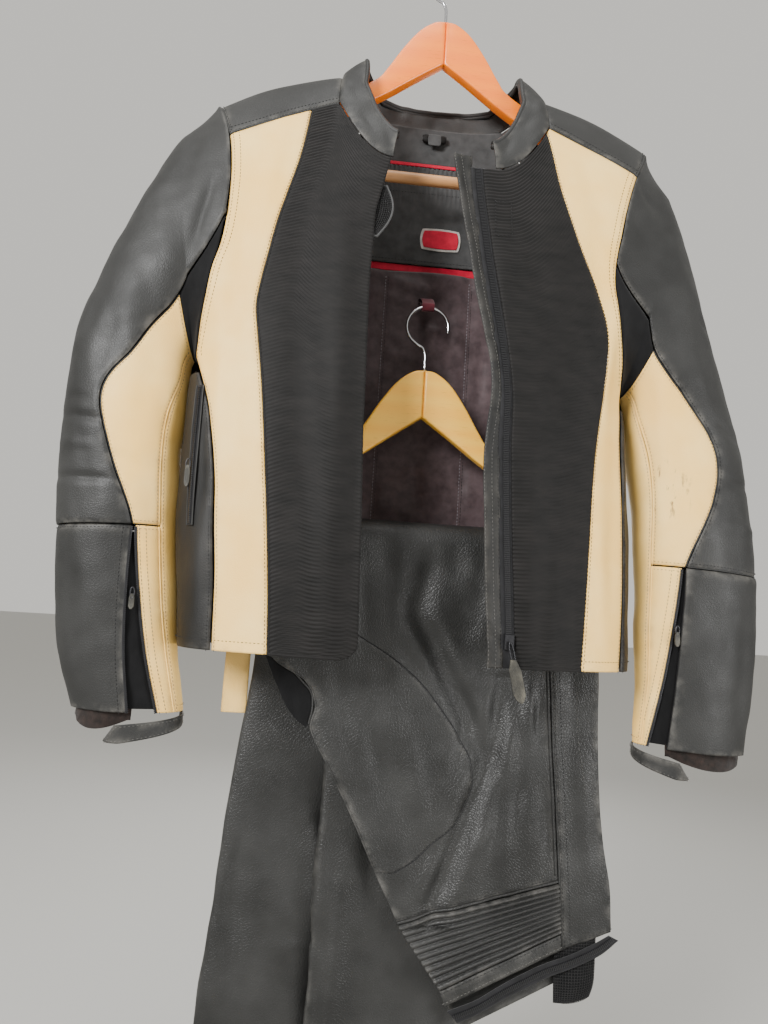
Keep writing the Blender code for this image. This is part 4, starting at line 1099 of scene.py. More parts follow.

# %% [markdown]
# ## Sides, back and shoulder yokes
#
# Plain black hide, with a darker hide on the sides as painted shade. The back hangs in long folds between the
# shoulder blades, and each yoke is one piece over the shoulder with a raised, twice-sewn lower seam.

# %% Side and back panels
back_creases = creases(
    (-150, -260, -60, -420, 22, 2.4), (150, -270, 70, -430, 22, 2.4), (-120, -430, -130, -720, 20, 2.6),
    (118, -440, 124, -720, 20, 2.2), (-50, -380, -40, -720, 18, -2.2), (40, -400, 52, -725, 18, -2.0),
    (0, -250, 4, -560, 24, 2.0), (-190, -480, -180, -720, 12, 2.0), (188, -490, 180, -715, 12, 1.8),
    (-90, -700, 60, -716, 9, 1.0),
)


def back_relief(p):
    return back_creases(p) + 0.9 * uneven(p, 55, 8)


def back_half(z, x):
    side = side_of(x)
    armhole = np.where(side, read(ARMHOLE, "left", z), read(ARMHOLE, "right", z))
    turned = both(BODY_WIDTH, x, z) * cos(radians(SIDE_BACK_ANGLE)) ** (2 / BULGE) - 1.5
    return mix(armhole - SEAM, turned, np.clip((-470 - z) / 14, 0, 1))


YOKE_GAP = 1.6


def back_form(u, v):
    share = 2 * u - 1
    z_top = np.full(u.shape, TOP_GUESS)
    for _ in range(ROUNDS):
        z_top = yoke_back(np.abs(share) * back_half(z_top, share)) - YOKE_GAP
    z = mix(z_top, HEM, v)
    return body(share * back_half(z, share), z, 1)


back = cloth("back_panel", back_form, FRONT_MIDDLE, BLACK_LEATHER, cell=5.5, relief=back_relief, sewn="lrt")
dress(back, "jacket_back")
stitch(back, "black", ("t", 3), ("t", 8), ("b", 10), ("l", 3.5), ("r", 3.5))

# %% Side panels
side_creases = creases(
    (-214, -500, -208, -640, 8, 1.8), (-205, -620, -200, -740, 8, -1.6), (-224, -560, -218, -720, 7, 1.4),
    (206, -510, 204, -700, 9, 2.0), (216, -560, 212, -740, 8, -1.4),
)
side_panels = {}
for side, sign in SIDES:

    def side_form(u, v, side=side, sign=sign):
        z = mix(SIDE_SEAM[0].z - 18, HEM, v)
        start = side_angle(cream_outer(z, side) + SEAM, z, side)
        front = np.maximum(0.05, start - 2 * SEAM / (80 * np.maximum(np.sin(start), 0.02)))
        return side_point(mix(front, -radians(SIDE_BACK_ANGLE), u), z, side, sign)

    # the sides take the darker flap hide: painted shade where the body turns away under the arms
    panel = cloth(
        f"side_{side}", side_form, (0, 0, -600), FLAP_HIDE_AND_SIDE_SHADE,
        relief=lambda p: side_creases(p) * 1.2 + 0.8 * uneven(p, 34, 4), sewn="lr",
    )
    dress(panel, f"jacket_side_{side}")
    stitch(panel, "black", ("l", 3), ("r", 3), ("b", 9))
    side_panels[side] = panel
print("back grid:", back.places.shape)

# %% Yokes
YOKE_GUESS, YOKE_ROUNDS = 160.0, 8
yokes = {}
for side, sign in SIDES:

    def yoke_form(u, v, side=side, sign=sign):
        x = np.full(u.shape, YOKE_GUESS)
        for _ in range(YOKE_ROUNDS):
            angle = mix(front_seam_angle(x), YOKE_BACK_ANGLE, v)
            z = ridge(x) - SHOULDER_DROP * (1 - np.cos(np.radians(angle)))
            x = mix(yoke_neck(angle) + SEAM, read(ARMHOLE, side, z) - SEAM, u)
        return yoke_point(sign * x, angle)

    panel = cloth(
        f"yoke_{side}", yoke_form, (sign * 150, 0, -300), BLACK_LEATHER,
        relief=lambda p: 0.8 * uneven(p, 40, 9), cell=3.5,
    )
    dress(panel, f"jacket_yoke_{side}")
    stitch(panel, "grey", ("t", 2.2))
    stitch(panel, "black", ("t", 7), ("b", 3), ("r", 2.5))
    yokes[side] = panel
print("yoke grid:", yokes["right"].places.shape)

# %% [markdown]
# ## Collar
#
# A stand collar is a strip that is sewn to the neckline and leans inwards. Here it follows the neckline's
# own points, with a table of how high and how far in its top edge goes. A soft roll along the top is its
# fold.


# %% Collar
def collar_base(place):
    """The neckline from the front end (0) over the shoulder to the middle of the back (8)."""
    x_front = -mix(NECK_FRONT, NECK_SIDE + 2, np.clip(place, 0, 3) / 3)
    front = body(x_front, neck_front(x_front), -1)
    start = front_seam_angle(NECK_SIDE + 2)
    angle = mix(start, YOKE_BACK_ANGLE, (np.clip(place, 3, 6) - 3) / 3)
    shoulder = yoke_point(-yoke_neck(angle), angle)
    x_back = -mix(NECK_BACK, 0, (np.clip(place, 6, 8) - 6) / 2)
    behind = body(x_back, NECK_BACK_Z + 0 * x_back, 1)
    place = place[..., None]
    return np.where(place <= 3, front, np.where(place <= 6, shoulder, behind))


def collar_form(u, v):
    row = 8 * (1 - np.abs(2 * u - 1))
    base = collar_base(row)
    base[..., 0] = np.abs(base[..., 0])
    flat = np.hypot(base[..., 0], base[..., 1])
    lean = v**1.3 * along(COLLAR, "inward", row) + 0.6 * (1 - v)
    share = 1 - lean / flat
    up = COLLAR_GAP + v * along(COLLAR, "up", row)
    sign = np.where(u > 0.5, 1, -1)
    return points(sign * base[..., 0] * share, base[..., 1] * share, base[..., 2] + up)


collar_creases = creases(
    (-86, -212, -70, -238, 5, 1.4), (-100, -180, -84, -200, 6, 1.2), (-60, -232, -52, -258, 5, 1.0),
    (92, -190, 78, -214, 6, 1.4), (70, -220, 58, -246, 5, 1.2), (104, -160, 96, -186, 6, -1.0),
    (-30, -132, -34, -156, 7, 1.4), (26, -134, 30, -158, 7, 1.4), (2, -138, 0, -160, 8, -1.6),
)
collar = cloth(
    "stand_collar", collar_form, (0, 0, -200), BLACK_LEATHER, cell=2.8,
    relief=lambda p: collar_creases(p) + 0.6 * uneven(p, 24, 12), sewn="t",
)
dress(collar, "jacket_collar")
stitch(collar, "black", ("t", 3), ("b", 4.5), ("l", 4.5), ("r", 4.5))
print("collar grid:", collar.places.shape)

# %% [markdown]
# ## Inside of the back
#
# What the open fronts show: a twill facing under a red piping, a ruched facing, a red stripe and a dark
# satin lining. The lining is cut wider than the hide, so it hangs in soft folds between its sewn
# channels.

# %% Lining and facings
LINING_SEAMS = (-44, 50)
LINING_HALF = 146
lining_creases = creases(
    (-30, -350, -12, -420, 9, 3.2), (22, -352, 34, -430, 8, 3.0), (-60, -345, -66, -440, 9, 2.6),
    (4, -345, 2, -400, 8, -2.6), (-20, -440, -34, -540, 11, 3.4), (16, -470, 34, -560, 10, 3.0),
    (-8, -520, 4, -600, 12, -3.2), (70, -400, 62, -500, 9, 2.6), (40, -560, 22, -640, 10, 2.8),
    (-70, -470, -58, -590, 9, 3.0), (-100, -380, -96, -640, 14, 3.0), (104, -370, 100, -660, 14, 3.0),
    (-60, -620, 50, -632, 10, 2.0), (-80, -690, 70, -700, 12, 2.4), (-16, -392, 30, -380, 7, 2.0),
)


def lining_relief(p):
    sewn = sum(np.exp(-(((p[..., 0] - x) / 5) ** 2)) for x in LINING_SEAMS)
    tucks = 0.8 * np.sin(p[..., 2] * 2 * pi / 21 + p[..., 0] / 14) * np.exp(-sewn)
    folds = 2.6 * uneven(p, 40, 21) * (1 - 0.7 * np.clip(sewn, 0, 1)) - 2.4 * sewn + tucks + lining_creases(p)
    return np.maximum(folds + 2.3, 1.0)


def ruched(p):
    """Gathers under the facing's upper seam, which fade out downwards."""
    fade = np.clip((p[..., 2] + 262) / 46, 0, 1)
    return fade * 1.1 * np.sin(p[..., 0] * 2 * pi / 5.2 + np.sin(p[..., 2] / 9)) + 0.5 * uneven(p, 30, 2)


def inner_form(z_top, z_bottom, half, depth):
    def form(u, v):
        z = mix(z_top, z_bottom, v)
        return body((2 * u - 1) * half, z, 1, -depth)

    return form


INNER_PIECES = (
    ("neck_facing", -163.5, -205, 80, NECK_DEPTH, FACING, LINING, "grey_facing", None, 3.0),
    ("neck_piping", -205.6, -209, 80, NECK_DEPTH + 1, RED, 2.0, "red_trim", None, 1.0),
    ("back_facing", -209.6, -323, 115, NECK_DEPTH, FACING, LINING, "grey_facing", ruched, (1.2, 3.0)),
    ("lining_stripe", -323.6, -331.6, 140, INNER_DEPTH + 1, RED, 1.4, "red_trim", None, 1.5),
    (
        "lining", -332.2, -738, LINING_HALF, INNER_DEPTH + 0.5, SATIN, LINING, "satin_lining",
        lining_relief, 4.0,
    ),
)
inner = {}
for name, top, end, half, depth, finish, wall, slot, relief, cell in INNER_PIECES:
    panel = cloth(
        f"inner_{name}", inner_form(top, end, half, depth), (0, 400, end), finish, wall, cell, relief, "",
    )
    inner[name] = dress(panel, f"jacket_{name}")
stitch(inner["back_facing"], "black", ("t", 30), ("b", 4))
for x in LINING_SEAMS:
    for thread, shift in (("pale", 0.0), ("black", 3.0)):
        share = (x + shift + LINING_HALF) / (2 * LINING_HALF)
        seams[thread].append(on_panel(inner["lining"], [(share, 0.02), (share, 0.5), (share, 0.98)], 0.5, 80))
print("inner pieces:", list(inner))

# %% Loops and labels inside the neck
neck_y = body(0, -176, 1, -NECK_DEPTH - 0.5)[1]


def hang_loop_form(u, v):
    """A short ribbon bunched up into folds, sewn down at both ends."""
    x = mix(-13.5, 13.5, u)
    round_it = 2 * pi * 0.86 * v + 0.7
    swell = 2.2 + 0.9 * np.abs(np.sin(3 * pi * u))
    z = -176.5 + 1.6 * swell * np.sin(round_it) - 2 * u * (1 - u)
    return points(x, neck_y - 3.0 + swell * np.cos(round_it), z)


hang_loop = cloth("hang_loop", hang_loop_form, (0, neck_y - 3, -177), RIBBED, 0.5, 0.8, None, "")
dress(hang_loop, "jacket_hang_loop")
bottom = LOWER_TOP + HOOK_HEIGHT - 0.8
label_back = body(0, -366, 1, -INNER_DEPTH - 1.4)[1]
wire_z = LOWER_TOP + HOOK_HEIGHT + WIRE_RADIUS
LABEL_PATH = (
    (label_back, -361), (LOWER_Y + 14, -371), (LOWER_Y - 1, wire_z + 5), (LOWER_Y - 3.6, wire_z + 1),
    (LOWER_Y - 2.6, bottom - 1.4), (LOWER_Y, bottom - 2), (LOWER_Y + 2.8, bottom - 1.2),
    (LOWER_Y + 4.2, wire_z), (LOWER_Y + 16, -376), (label_back, -365.5),
)


def label_form(u, v):
    at = v * (len(LABEL_PATH) - 1)
    y = smooth_read(range(len(LABEL_PATH)), [place[0] for place in LABEL_PATH], at)
    z = smooth_read(range(len(LABEL_PATH)), [place[1] for place in LABEL_PATH], at)
    return points(mix(-6.5, 6.5, u), y, z)


label = cloth("hook_label", label_form, (0, LOWER_Y + 8, -378), MAROON, 0.6, 1.0, None, "")
dress(label, "jacket_hook_label")
print("label grid:", label.places.shape)

# %% [markdown]
# ## Sleeves
#
# A race jacket's sleeve is cut bent, so that it fits a rider's arms. It hangs with creases at the elbow
# and with long troughs down from the shoulder. Each sleeve has a black upper piece, a stretch insert at
# the armpit, two cream pieces with a piped seam between them, a forearm and a zipped opening at the cuff.

# %% Sleeve creases
sleeve_creases = creases(
    (-236, -215, -262, -350, 12, 2.0), (-222, -300, -238, -380, 7, 2.2),
    (-262, -260, -322, -400, 14, -1.8), (-300, -330, -336, -480, 13, 1.8),
    (-348, -540, -300, -548, 5, 2.2), (-350, -566, -304, -572, 5, -1.2), (-350, -600, -286, -602, 5, 2.4),
    (-346, -522, -318, -528, 5, 1.2), (-262, -455, -272, -550, 10, 1.2), (-300, -575, -254, -594, 7, 1.4),
    (-240, -540, -226, -600, 8, 1.6), (-252, -500, -238, -560, 7, -1.2),
    (-330, -650, -312, -760, 11, 2.0), (-345, -690, -330, -790, 8, -1.4),
    (-246, -640, -236, -780, 8, 1.2), (-300, -420, -316, -520, 12, 1.4), (206, -246, 222, -282, 7, 2.0),
    (214, -240, 248, -330, 12, 2.0), (240, -300, 284, -420, 13, -1.8), (262, -350, 290, -480, 10, 1.8),
    (272, -390, 286, -402, 4, 1.4), (290, -500, 326, -516, 6, 1.8), (300, -560, 344, -560, 6, 2.0),
    (308, -600, 348, -606, 5, -1.2), (222, -450, 232, -560, 9, 1.8), (240, -480, 262, -600, 11, 1.2),
    (226, -560, 236, -640, 8, 1.4), (330, -670, 322, -800, 11, 2.0), (346, -700, 338, -800, 7, -1.2),
    (252, -650, 250, -760, 8, 1.2),
)


def sleeve_relief(p):
    return sleeve_creases(p) + 1.1 * uneven(p, 36, 31) + 0.35 * uneven(p, 13, 32)


def sleeve_form(side, sign, first, last, near, far, out=0.0):
    gap = SEAM / SLEEVE_GIRTH

    def form(u, v):
        row = mix(first, last, v)
        return sleeve_point(side, sign, mix(near(row) + gap, far(row) - gap, u), row, out)

    return form


def sleeve_middle(side, sign, row):
    return (sleeve_point(side, sign, 0.5, row) + sleeve_point(side, sign, 1.5, row)) / 2


print("gap at a sleeve seam:", SEAM, "mm")

# %% Sleeve panels
SEAM_ROW = 0.012
sleeves = {}
openings = {}
for side, sign in SIDES:
    table = SLEEVES[side]
    black = lambda row, table=table: turn_of(along(table, "black", row))
    piped = lambda row, table=table: turn_of(along(table, "piped", row))
    zip_out = lambda row, table=table: turn_of(along(table, "zip_out", np.maximum(FOREARM_ROW, row)))
    zip_in = lambda row, table=table: turn_of(along(table, "zip_in", np.maximum(FOREARM_ROW, row)))
    back_seam = lambda row: -BACK_SEAM + 0 * row
    under = lambda row: 2 - BACK_SEAM + 0 * row
    armpit = lambda row: 1.15 + 0 * row
    cream_top = CREAM_TOP_ROW[side]
    hide = SCUFFED_CREAM if side == "left" else CREAM_LEATHER
    seam_up, seam_down = FOREARM_ROW - SEAM_ROW, FOREARM_ROW + SEAM_ROW
    openings[side] = (zip_out, zip_in)
    pieces = (
        ("upper", 0, seam_up, back_seam, black, BLACK_LEATHER, "black_leather"),
        ("stretch", 0, cream_top - SEAM_ROW, black, armpit, KNIT, "stretch_knit"),
        ("cream_front", cream_top + SEAM_ROW, seam_up, black, piped, hide, "cream_leather"),
        ("cream_under", cream_top + SEAM_ROW, CUFF_ROW, piped, under, CREAM_LEATHER, "cream_leather"),
        ("forearm", seam_down, CUFF_ROW, back_seam, zip_out, BLACK_LEATHER, "black_leather"),
        ("cream_cuff", seam_down, CUFF_ROW, zip_in, piped, CREAM_LEATHER, "cream_leather"),
    )
    sleeves[side] = {}
    for part, first, last, near, far, finish, slot in pieces:
        panel = cloth(
            f"sleeve_{side}_{part}_cloth", sleeve_form(side, sign, first, last, near, far),
            sleeve_middle(side, sign, (first + last) / 2), finish, cell=3.4, relief=sleeve_relief,
            sewn="lrt" if last == CUFF_ROW else "lrtb",
        )
        sleeves[side][part] = dress(panel, f"sleeve_{side}_{part}")
    wider_out = lambda row, zip_out=zip_out: zip_out(row) - 0.05
    wider_in = lambda row, zip_in=zip_in: zip_in(row) + 0.05
    behind = -LEATHER - LAYER - 0.8
    gusset = cloth(
        f"sleeve_{side}_gusset_cloth",
        sleeve_form(side, sign, FOREARM_ROW + 0.1, CUFF_ROW - 0.05, wider_out, wider_in, behind),
        sleeve_middle(side, sign, 8.5), KNIT, LINING, 2.5,
        lambda p: -1.4 + 0.8 * uneven(p, 16, 40), "",
    )
    sleeves[side]["gusset"] = dress(gusset, f"sleeve_{side}_gusset")
    stitch(sleeves[side]["upper"], "black", ("r", 2.2), ("l", 3), ("b", 4))
    stitch(sleeves[side]["forearm"], "black", ("t", 2.5), ("r", 7), ("l", 3))
    stitch(sleeves[side]["cream_front"], "cream", ("r", 2.4), ("b", 3), ("t", 2.5))
    stitch(sleeves[side]["cream_front"], "grey", ("l", 2.0))
    stitch(sleeves[side]["cream_cuff"], "grey", ("l", 3.0), ("l", 9.0))
    stitch(sleeves[side]["cream_cuff"], "cream", ("t", 3))
    stitch(sleeves[side]["cream_under"], "cream", ("l", 2.4), ("b", 6))
    print(side, "sleeve:", {part: panel.places.shape[:2] for part, panel in sleeves[side].items()})

# %% [markdown]
# ## Cuffs
#
# A tab of hide wraps round the open end of each sleeve and lies on hook and loop tape. Its free end turns
# up.

# %% Cuff tabs and hook and loop patches
for side, sign in SIDES:
    zip_out, zip_in = openings[side]

    def tab_form(u, v, side=side, sign=sign, zip_out=zip_out):
        turn = mix(zip_out(CUFF_ROW) - 0.06 - 0.05 * v, 1.12, u)
        around = sleeve_point(side, sign, turn, CUFF_ROW + 0 * u, 1.2)
        rounded = (9 + 9 * (1 - u)) * v * (0.72 + 0.28 * np.sqrt(np.clip(u * 8, 0, 1)))
        around[..., 2] += -0.6 - 10.5 * (1 - u) - rounded
        around[..., 1] -= 5 * (1 - u) ** 3
        return around

    tab = cloth(
        f"sleeve_{side}_tab_cloth", tab_form, sleeve_middle(side, sign, CUFF_ROW), BLACK_LEATHER,
        cell=2.2, relief=lambda p: 0.7 * uneven(p, 18, 44), sewn="",
    )
    dress(tab, f"sleeve_{side}_tab")
    stitch(tab, "grey", ("t", 2), ("b", 2), ("l", 2.5))

    def pile_form(u, v, side=side, sign=sign, zip_out=zip_out):
        turn = mix(0.06, zip_out(CUFF_ROW) + 0.02, u)
        edge = sleeve_point(side, sign, turn, CUFF_ROW + 0 * u, -5.0)
        edge[..., 2] += 8 - v * (14 + 11 * np.sin(pi * np.clip(u, 0.04, 0.96)))
        return edge

    pile = cloth(
        f"cuff_pile_{side}", pile_form, sleeve_middle(side, sign, CUFF_ROW - 0.3), PILE, 1.0, 1.6,
        lambda p: 0.35 * uneven(p, 3.5, 45), "",
    )
    belongs(pile.thing)
print("cuff tabs made")

# %% [markdown]
# ## Tubes: piping, bindings, hooks and bars
#
# Piping is a cord wrapped in leather and caught in a seam. It follows the seam's own points, and so does
# the binding on a free edge. One function makes every round piece from a line and a radius.


# %% Tubes
def tube(name, routes, radius, finish, body_name="suit", sides=8, node=None):
    """Round tubes along lines, joined as one mesh, with closed ends."""
    verts, faces = [], []
    for route in routes:
        route = np.asarray(route, float)
        tangents = np.gradient(route, axis=0)
        tangents /= np.maximum(np.linalg.norm(tangents, axis=1, keepdims=True), 1e-9)
        normal = np.cross(tangents[0], (0.3, 0.9, 0.2))
        for place, tangent in zip(route, tangents):
            normal = normal - tangent * (normal @ tangent)
            normal /= np.linalg.norm(normal)
            other = np.cross(tangent, normal)
            turns = np.linspace(0, 2 * pi, sides, endpoint=False)
            ring = place + radius * (np.outer(np.cos(turns), normal) + np.outer(np.sin(turns), other))
            verts.extend(ring)
        base = len(verts) - sides * len(route)
        for j in range(len(route) - 1):
            for i in range(sides):
                n = (i + 1) % sides
                a, b = base + j * sides, base + (j + 1) * sides
                faces.append((a + i, a + n, b + n, b + i))
        faces.append(tuple(base + i for i in range(sides))[::-1])
        faces.append(tuple(base + (len(route) - 1) * sides + i for i in range(sides)))
    mesh = bpy.data.meshes.new(name)
    mesh.from_pydata(np.array(verts) * MM, [], faces)
    mesh.shade_smooth()
    mesh.materials.append(finish)
    return belongs(linked(name, mesh), body_name, node)


cream_piping = [beside(sleeves[side]["cream_front"], "r", 0.0, -0.2) for side, _ in SIDES]
cream_piping += [beside(sleeves[side]["cream_cuff"], "r", 0.0, -0.2) for side, _ in SIDES]
tube("sleeve_piping", cream_piping, 1.0, CREAM_LEATHER)
black_piping = [beside(sleeves[side]["cream_front"], "l", -0.2, -0.1) for side, _ in SIDES]
black_piping += [beside(sleeves[side]["upper"], "b", 0.3, 0.1) for side, _ in SIDES]
tube("sleeve_seam_rolls", black_piping, 0.8, BLACK_LEATHER)
yoke_rolls = [beside(yokes[side], "t", 0.0, 0.0) for side, _ in SIDES]
armhole_rolls = [beside(yokes[side], "r", 0.2, 0.0) for side, _ in SIDES]
tube("yoke_rolls", yoke_rolls + armhole_rolls, 1.1, BLACK_LEATHER)
collar_roll = beside(collar, "b", 0.4, -0.9)
tube("collar_roll", [collar_roll], 1.5, BLACK_LEATHER)
print("tubes made")

# %% [markdown]
# ## Trousers over the lower bar
#
# Only one layer of the folded trousers shows in front, with the seat, the hip panel, the gathered lumbar
# panel, the waistband and the zip that joins them to the jacket. The hidden layers are one rounded wall
# inside it.

# %% Trouser panels
trouser_creases = creases(
    (-43, -636, -4, -690, 13, 2.4), (40, -640, 22, -700, 13, 2.6), (-17, -734, 34, -786, 9, 2.2),
    (84, -640, 70, -740, 13, -4.0), (110, -690, 108, -840, 10, 3.2), (-100, -660, -112, -745, 11, 3.2),
    (-70, -650, -60, -740, 13, -3.6), (36, -908, 10, -960, 8, 2.6), (96, -860, 84, -930, 9, 3.0),
    (-40, -800, -20, -880, 11, 3.0), (2, -820, 16, -900, 10, -2.4), (156, -690, 164, -840, 9, 2.4),
    (171, -840, 182, -950, 9, -2.6), (60, -800, 46, -860, 8, 2.6), (126, -780, 129, -830, 7, 2.8),
    (117, -766, 118, -818, 8, -2.8), (112, -850, 106, -905, 9, 3.4), (100, -800, 98, -850, 8, -2.2),
    (-118, -690, -122, -760, 7, -1.8), (30, -655, 64, -672, 6, 2.0), (-70, -770, -52, -850, 10, 2.4),
    (80, -745, 76, -800, 7, -2.6), (136, -870, 140, -930, 6, 1.8), (60, -930, 90, -900, 8, -2.0),
)
SHARP_FOLD, SHARP_WIDTH, RIDGE_SHIFT = 2.4, 8.5, 19.0


def sharp_folds(p):
    """The narrow bottom of the drape's two largest folds, and the ridge beside each."""
    total = np.zeros(p.shape[:-1])
    for line in DRAPE_FOLDS:
        near = np.clip((line[0].z + 14 - p[..., 2]) / 30, 0, 1)
        near = near * np.clip((p[..., 2] - line[-1].z + 14) / 30, 0, 1)
        away = p[..., 0] - read(line, "x", p[..., 2])
        total -= SHARP_FOLD * near * np.exp(-((away / SHARP_WIDTH) ** 2))
        total += 0.5 * SHARP_FOLD * near * np.exp(-(((np.abs(away) - RIDGE_SHIFT) / SHARP_WIDTH) ** 2))
    return total


def trouser_relief(p):
    below = np.clip((-632 - p[..., 2]) / 30, 0.25, 1)
    wavy = below * (1.6 * uneven(p, 48, 51) + 0.6 * uneven(p, 17, 52))
    return trouser_creases(p) + wavy + sharp_folds(p) * (p[..., 1] < 5)


FOLD_MIDDLE = (0, LOWER_Y + 60, -900)
BEHIND_WAIST = (0, 100, -1000)
seat = cloth(
    "seat_cloth", lambda u, v: folded_form(SEAT_SPANS, 0, u, v), FOLD_MIDDLE, TROUSER_LEATHER, cell=3.2,
    relief=trouser_relief, sewn="rb",
)
dress(seat, "trousers_seat")
hip = cloth(
    "hip_cloth", lambda u, v: folded_form(HIP_SPANS, 0, u, v), FOLD_MIDDLE, TROUSER_LEATHER, cell=3.2,
    relief=trouser_relief, sewn="lb",
)
dress(hip, "trousers_hip")
stitch(hip, "black", ("l", 3.0), ("l", 9.0), ("b", 3))
stitch(seat, "black", ("r", 3.0), ("b", 4))
core = cloth(
    "folded_layers_cloth",
    lambda u, v: folded_form(CORE_SPANS, LEATHER + LAYER + FOLD_DEPTH + 0.5, u, v, False), FOLD_MIDDLE,
    TROUSER_LEATHER, 8.0, 5.0, lambda p: 0.6 * uneven(p, 40, 53), "",
)
dress(core, "trousers_folded_layers")


def patch_form(u, v):
    z = mix(PATCH_EDGE[0].z, PATCH_EDGE[-1].z, v)
    return layer_front(mix(read(SEAT_EDGE, "x", z) + 2, read(PATCH_EDGE, "x", z), u), z, 0.6)


patch = cloth(
    "seat_patch_cloth", patch_form, (0, 100, -850), TROUSER_LEATHER, 1.0, 3.2,
    trouser_relief, "rb",
)
dress(patch, "trousers_seat_patch")
stitch(patch, "black", ("r", 2.0), ("b", 2.0))
print("seat grid:", seat.places.shape)

# %% Lumbar panel, waistband and joining zip
lumbar = cloth(
    "lumbar_ribs", lambda u, v: layer_front(*spans_place(RIB_SPANS, u, v)), BEHIND_WAIST, TROUSER_LEATHER,
    0, (3.4, 0.6), lambda p: 0.5 * uneven(p, 20, 55), "",
)
lumbar_length = lumbar.top[-1].mean()
mesh = lumbar.thing.data
shares = np.repeat(denser_ends(lumbar.places.shape[0] - 1), lumbar.places.shape[1]) * lumbar_length
mesh.attributes["down"].data.foreach_set("value", shares.astype(np.float32))
ribbed(lumbar, lumbar_length / RIBS, RIB_DEPTH, LEATHER)
dress(lumbar, "trousers_accordion", gathered=1.5)
band = cloth(
    "waistband_cloth", lambda u, v: layer_front(*spans_place(BAND_SPANS, u, v)), BEHIND_WAIST,
    TROUSER_LEATHER, cell=2.2, relief=lambda p: 0.8 + 0.4 * uneven(p, 18, 56), sewn="tb",
)
dress(band, "trousers_waistband")
stitch(band, "grey", ("b", 3.0))
stitch(band, "black", ("t", 2.5))
waist_zip = cloth(
    "waist_zip_tape", lambda u, v: layer_front(*spans_place(ZIP_SPANS, u, v), 0.5), BEHIND_WAIST,
    TAPE, TEXTILE, 2.0, lambda p: 0.4 * uneven(p, 22, 57), "",
)
dress(waist_zip, "trousers_waist_zip")
crescent = cloth(
    "stretch_crotch", lambda u, v: layer_front(*spans_place(CRESCENT_SPANS, u, v), -2), (0, 100, -780),
    KNIT, TEXTILE, 1.6, lambda p: 0.5 * uneven(p, 12, 58), "",
)
dress(crescent, "trousers_stretch_crotch")
print("lumbar ribs:", RIBS, "over", round(lumbar_length), "mm")

# %% [markdown]
# ## Legs
#
# Behind the folded layer the two legs hang down, fanned a little apart. Each is a flattened tube: two
# layers of hide with a rounded edge at the seam. A wavy form with creases keeps them from looking like
# boards.


# %% Legs
leg_creases = creases(
    (-150, -690, -136, -860, 9, 2.0), (-120, -700, -108, -900, 11, 2.6),
    (-90, -820, -70, -1000, 10, -2.4), (-160, -880, -150, -1120, 10, 2.2),
    (-120, -960, -100, -1180, 11, 2.6), (-70, -1000, -76, -1180, 9, 2.0),
    (-30, -860, -20, -1040, 11, 2.8), (-50, -940, -60, -1160, 10, -2.4), (10, -980, -6, -1180, 10, 2.2),
    (60, -1060, 20, -1180, 9, 2.0), (80, -900, 90, -1000, 9, 1.8), (-140, -1014, -62, -1020, 4, 1.4),
)


def leg_relief(p):
    return 1.5 * leg_creases(p) * (p[..., 1] < 25) + 1.5 * uneven(p, 44, 61) + 0.6 * uneven(p, 16, 62)


def leg_form(rows):
    def form(u, v):
        level = v * (len(rows) - 1)
        z, outer, inner, near, far = (along(rows, column, level) for column in Leg._fields)
        turn = 2 * pi * u
        root = lambda value: np.sign(value) * np.abs(value) ** 0.5
        return points(
            (outer + inner) / 2 - (inner - outer) / 2 * root(np.cos(turn)),
            (near + far) / 2 + (far - near) / 2 * root(np.sin(turn)), z,
        )

    return form


legs = {}
for name, rows in (("back", LEG_BACK), ("front", LEG_FRONT)):
    middle = (rows[3].outer / 2 + rows[3].inner / 2, rows[3].near / 2 + rows[3].far / 2, rows[3].z)
    leg = cloth(f"leg_{name}_cloth", leg_form(rows), middle, TROUSER_LEATHER, LEATHER, 4.2, leg_relief, "")
    legs[name] = dress(leg, f"trousers_leg_{name}")
print("leg grid:", legs["back"].places.shape)

# %% Cream stripe end
stripe = cloth(
    "cream_stripe", lambda u, v: points(mix(-183, -158, u), 41 + 1.5 * np.sin(3 * v), mix(-690, -818, v)),
    (-166, 80, -750), CREAM_LEATHER, cell=2.5, relief=lambda p: 0.5 * uneven(p, 24, 70), sewn="lr",
)
dress(stripe, "trousers_cream_stripe")
print("stripe grid:", stripe.places.shape)

# %% [markdown]
# ## Stitches and zip teeth by Geometry Nodes
#
# Both repeat one small shape along a line. The tree turns the lines into curves, puts a point at each
# pitch and sets an instance on it, turned along the thread. A stitch is a stretched ball of 20 faces. A
# tooth of a coil zip is a small bar across the line. Realize Instances makes the result a plain mesh.


# %% Stitch and coil trees
def guide(name, lines):
    """Lines as one mesh of edges, for a node tree to follow."""
    verts, edges = [], []
    for line in lines:
        start = len(verts)
        verts.extend(np.asarray(line) * MM)
        edges.extend((start + i, start + i + 1) for i in range(len(line) - 1))
    mesh = bpy.data.meshes.new(name)
    mesh.from_pydata([tuple(vert) for vert in verts], edges, [])
    return linked(name, mesh)


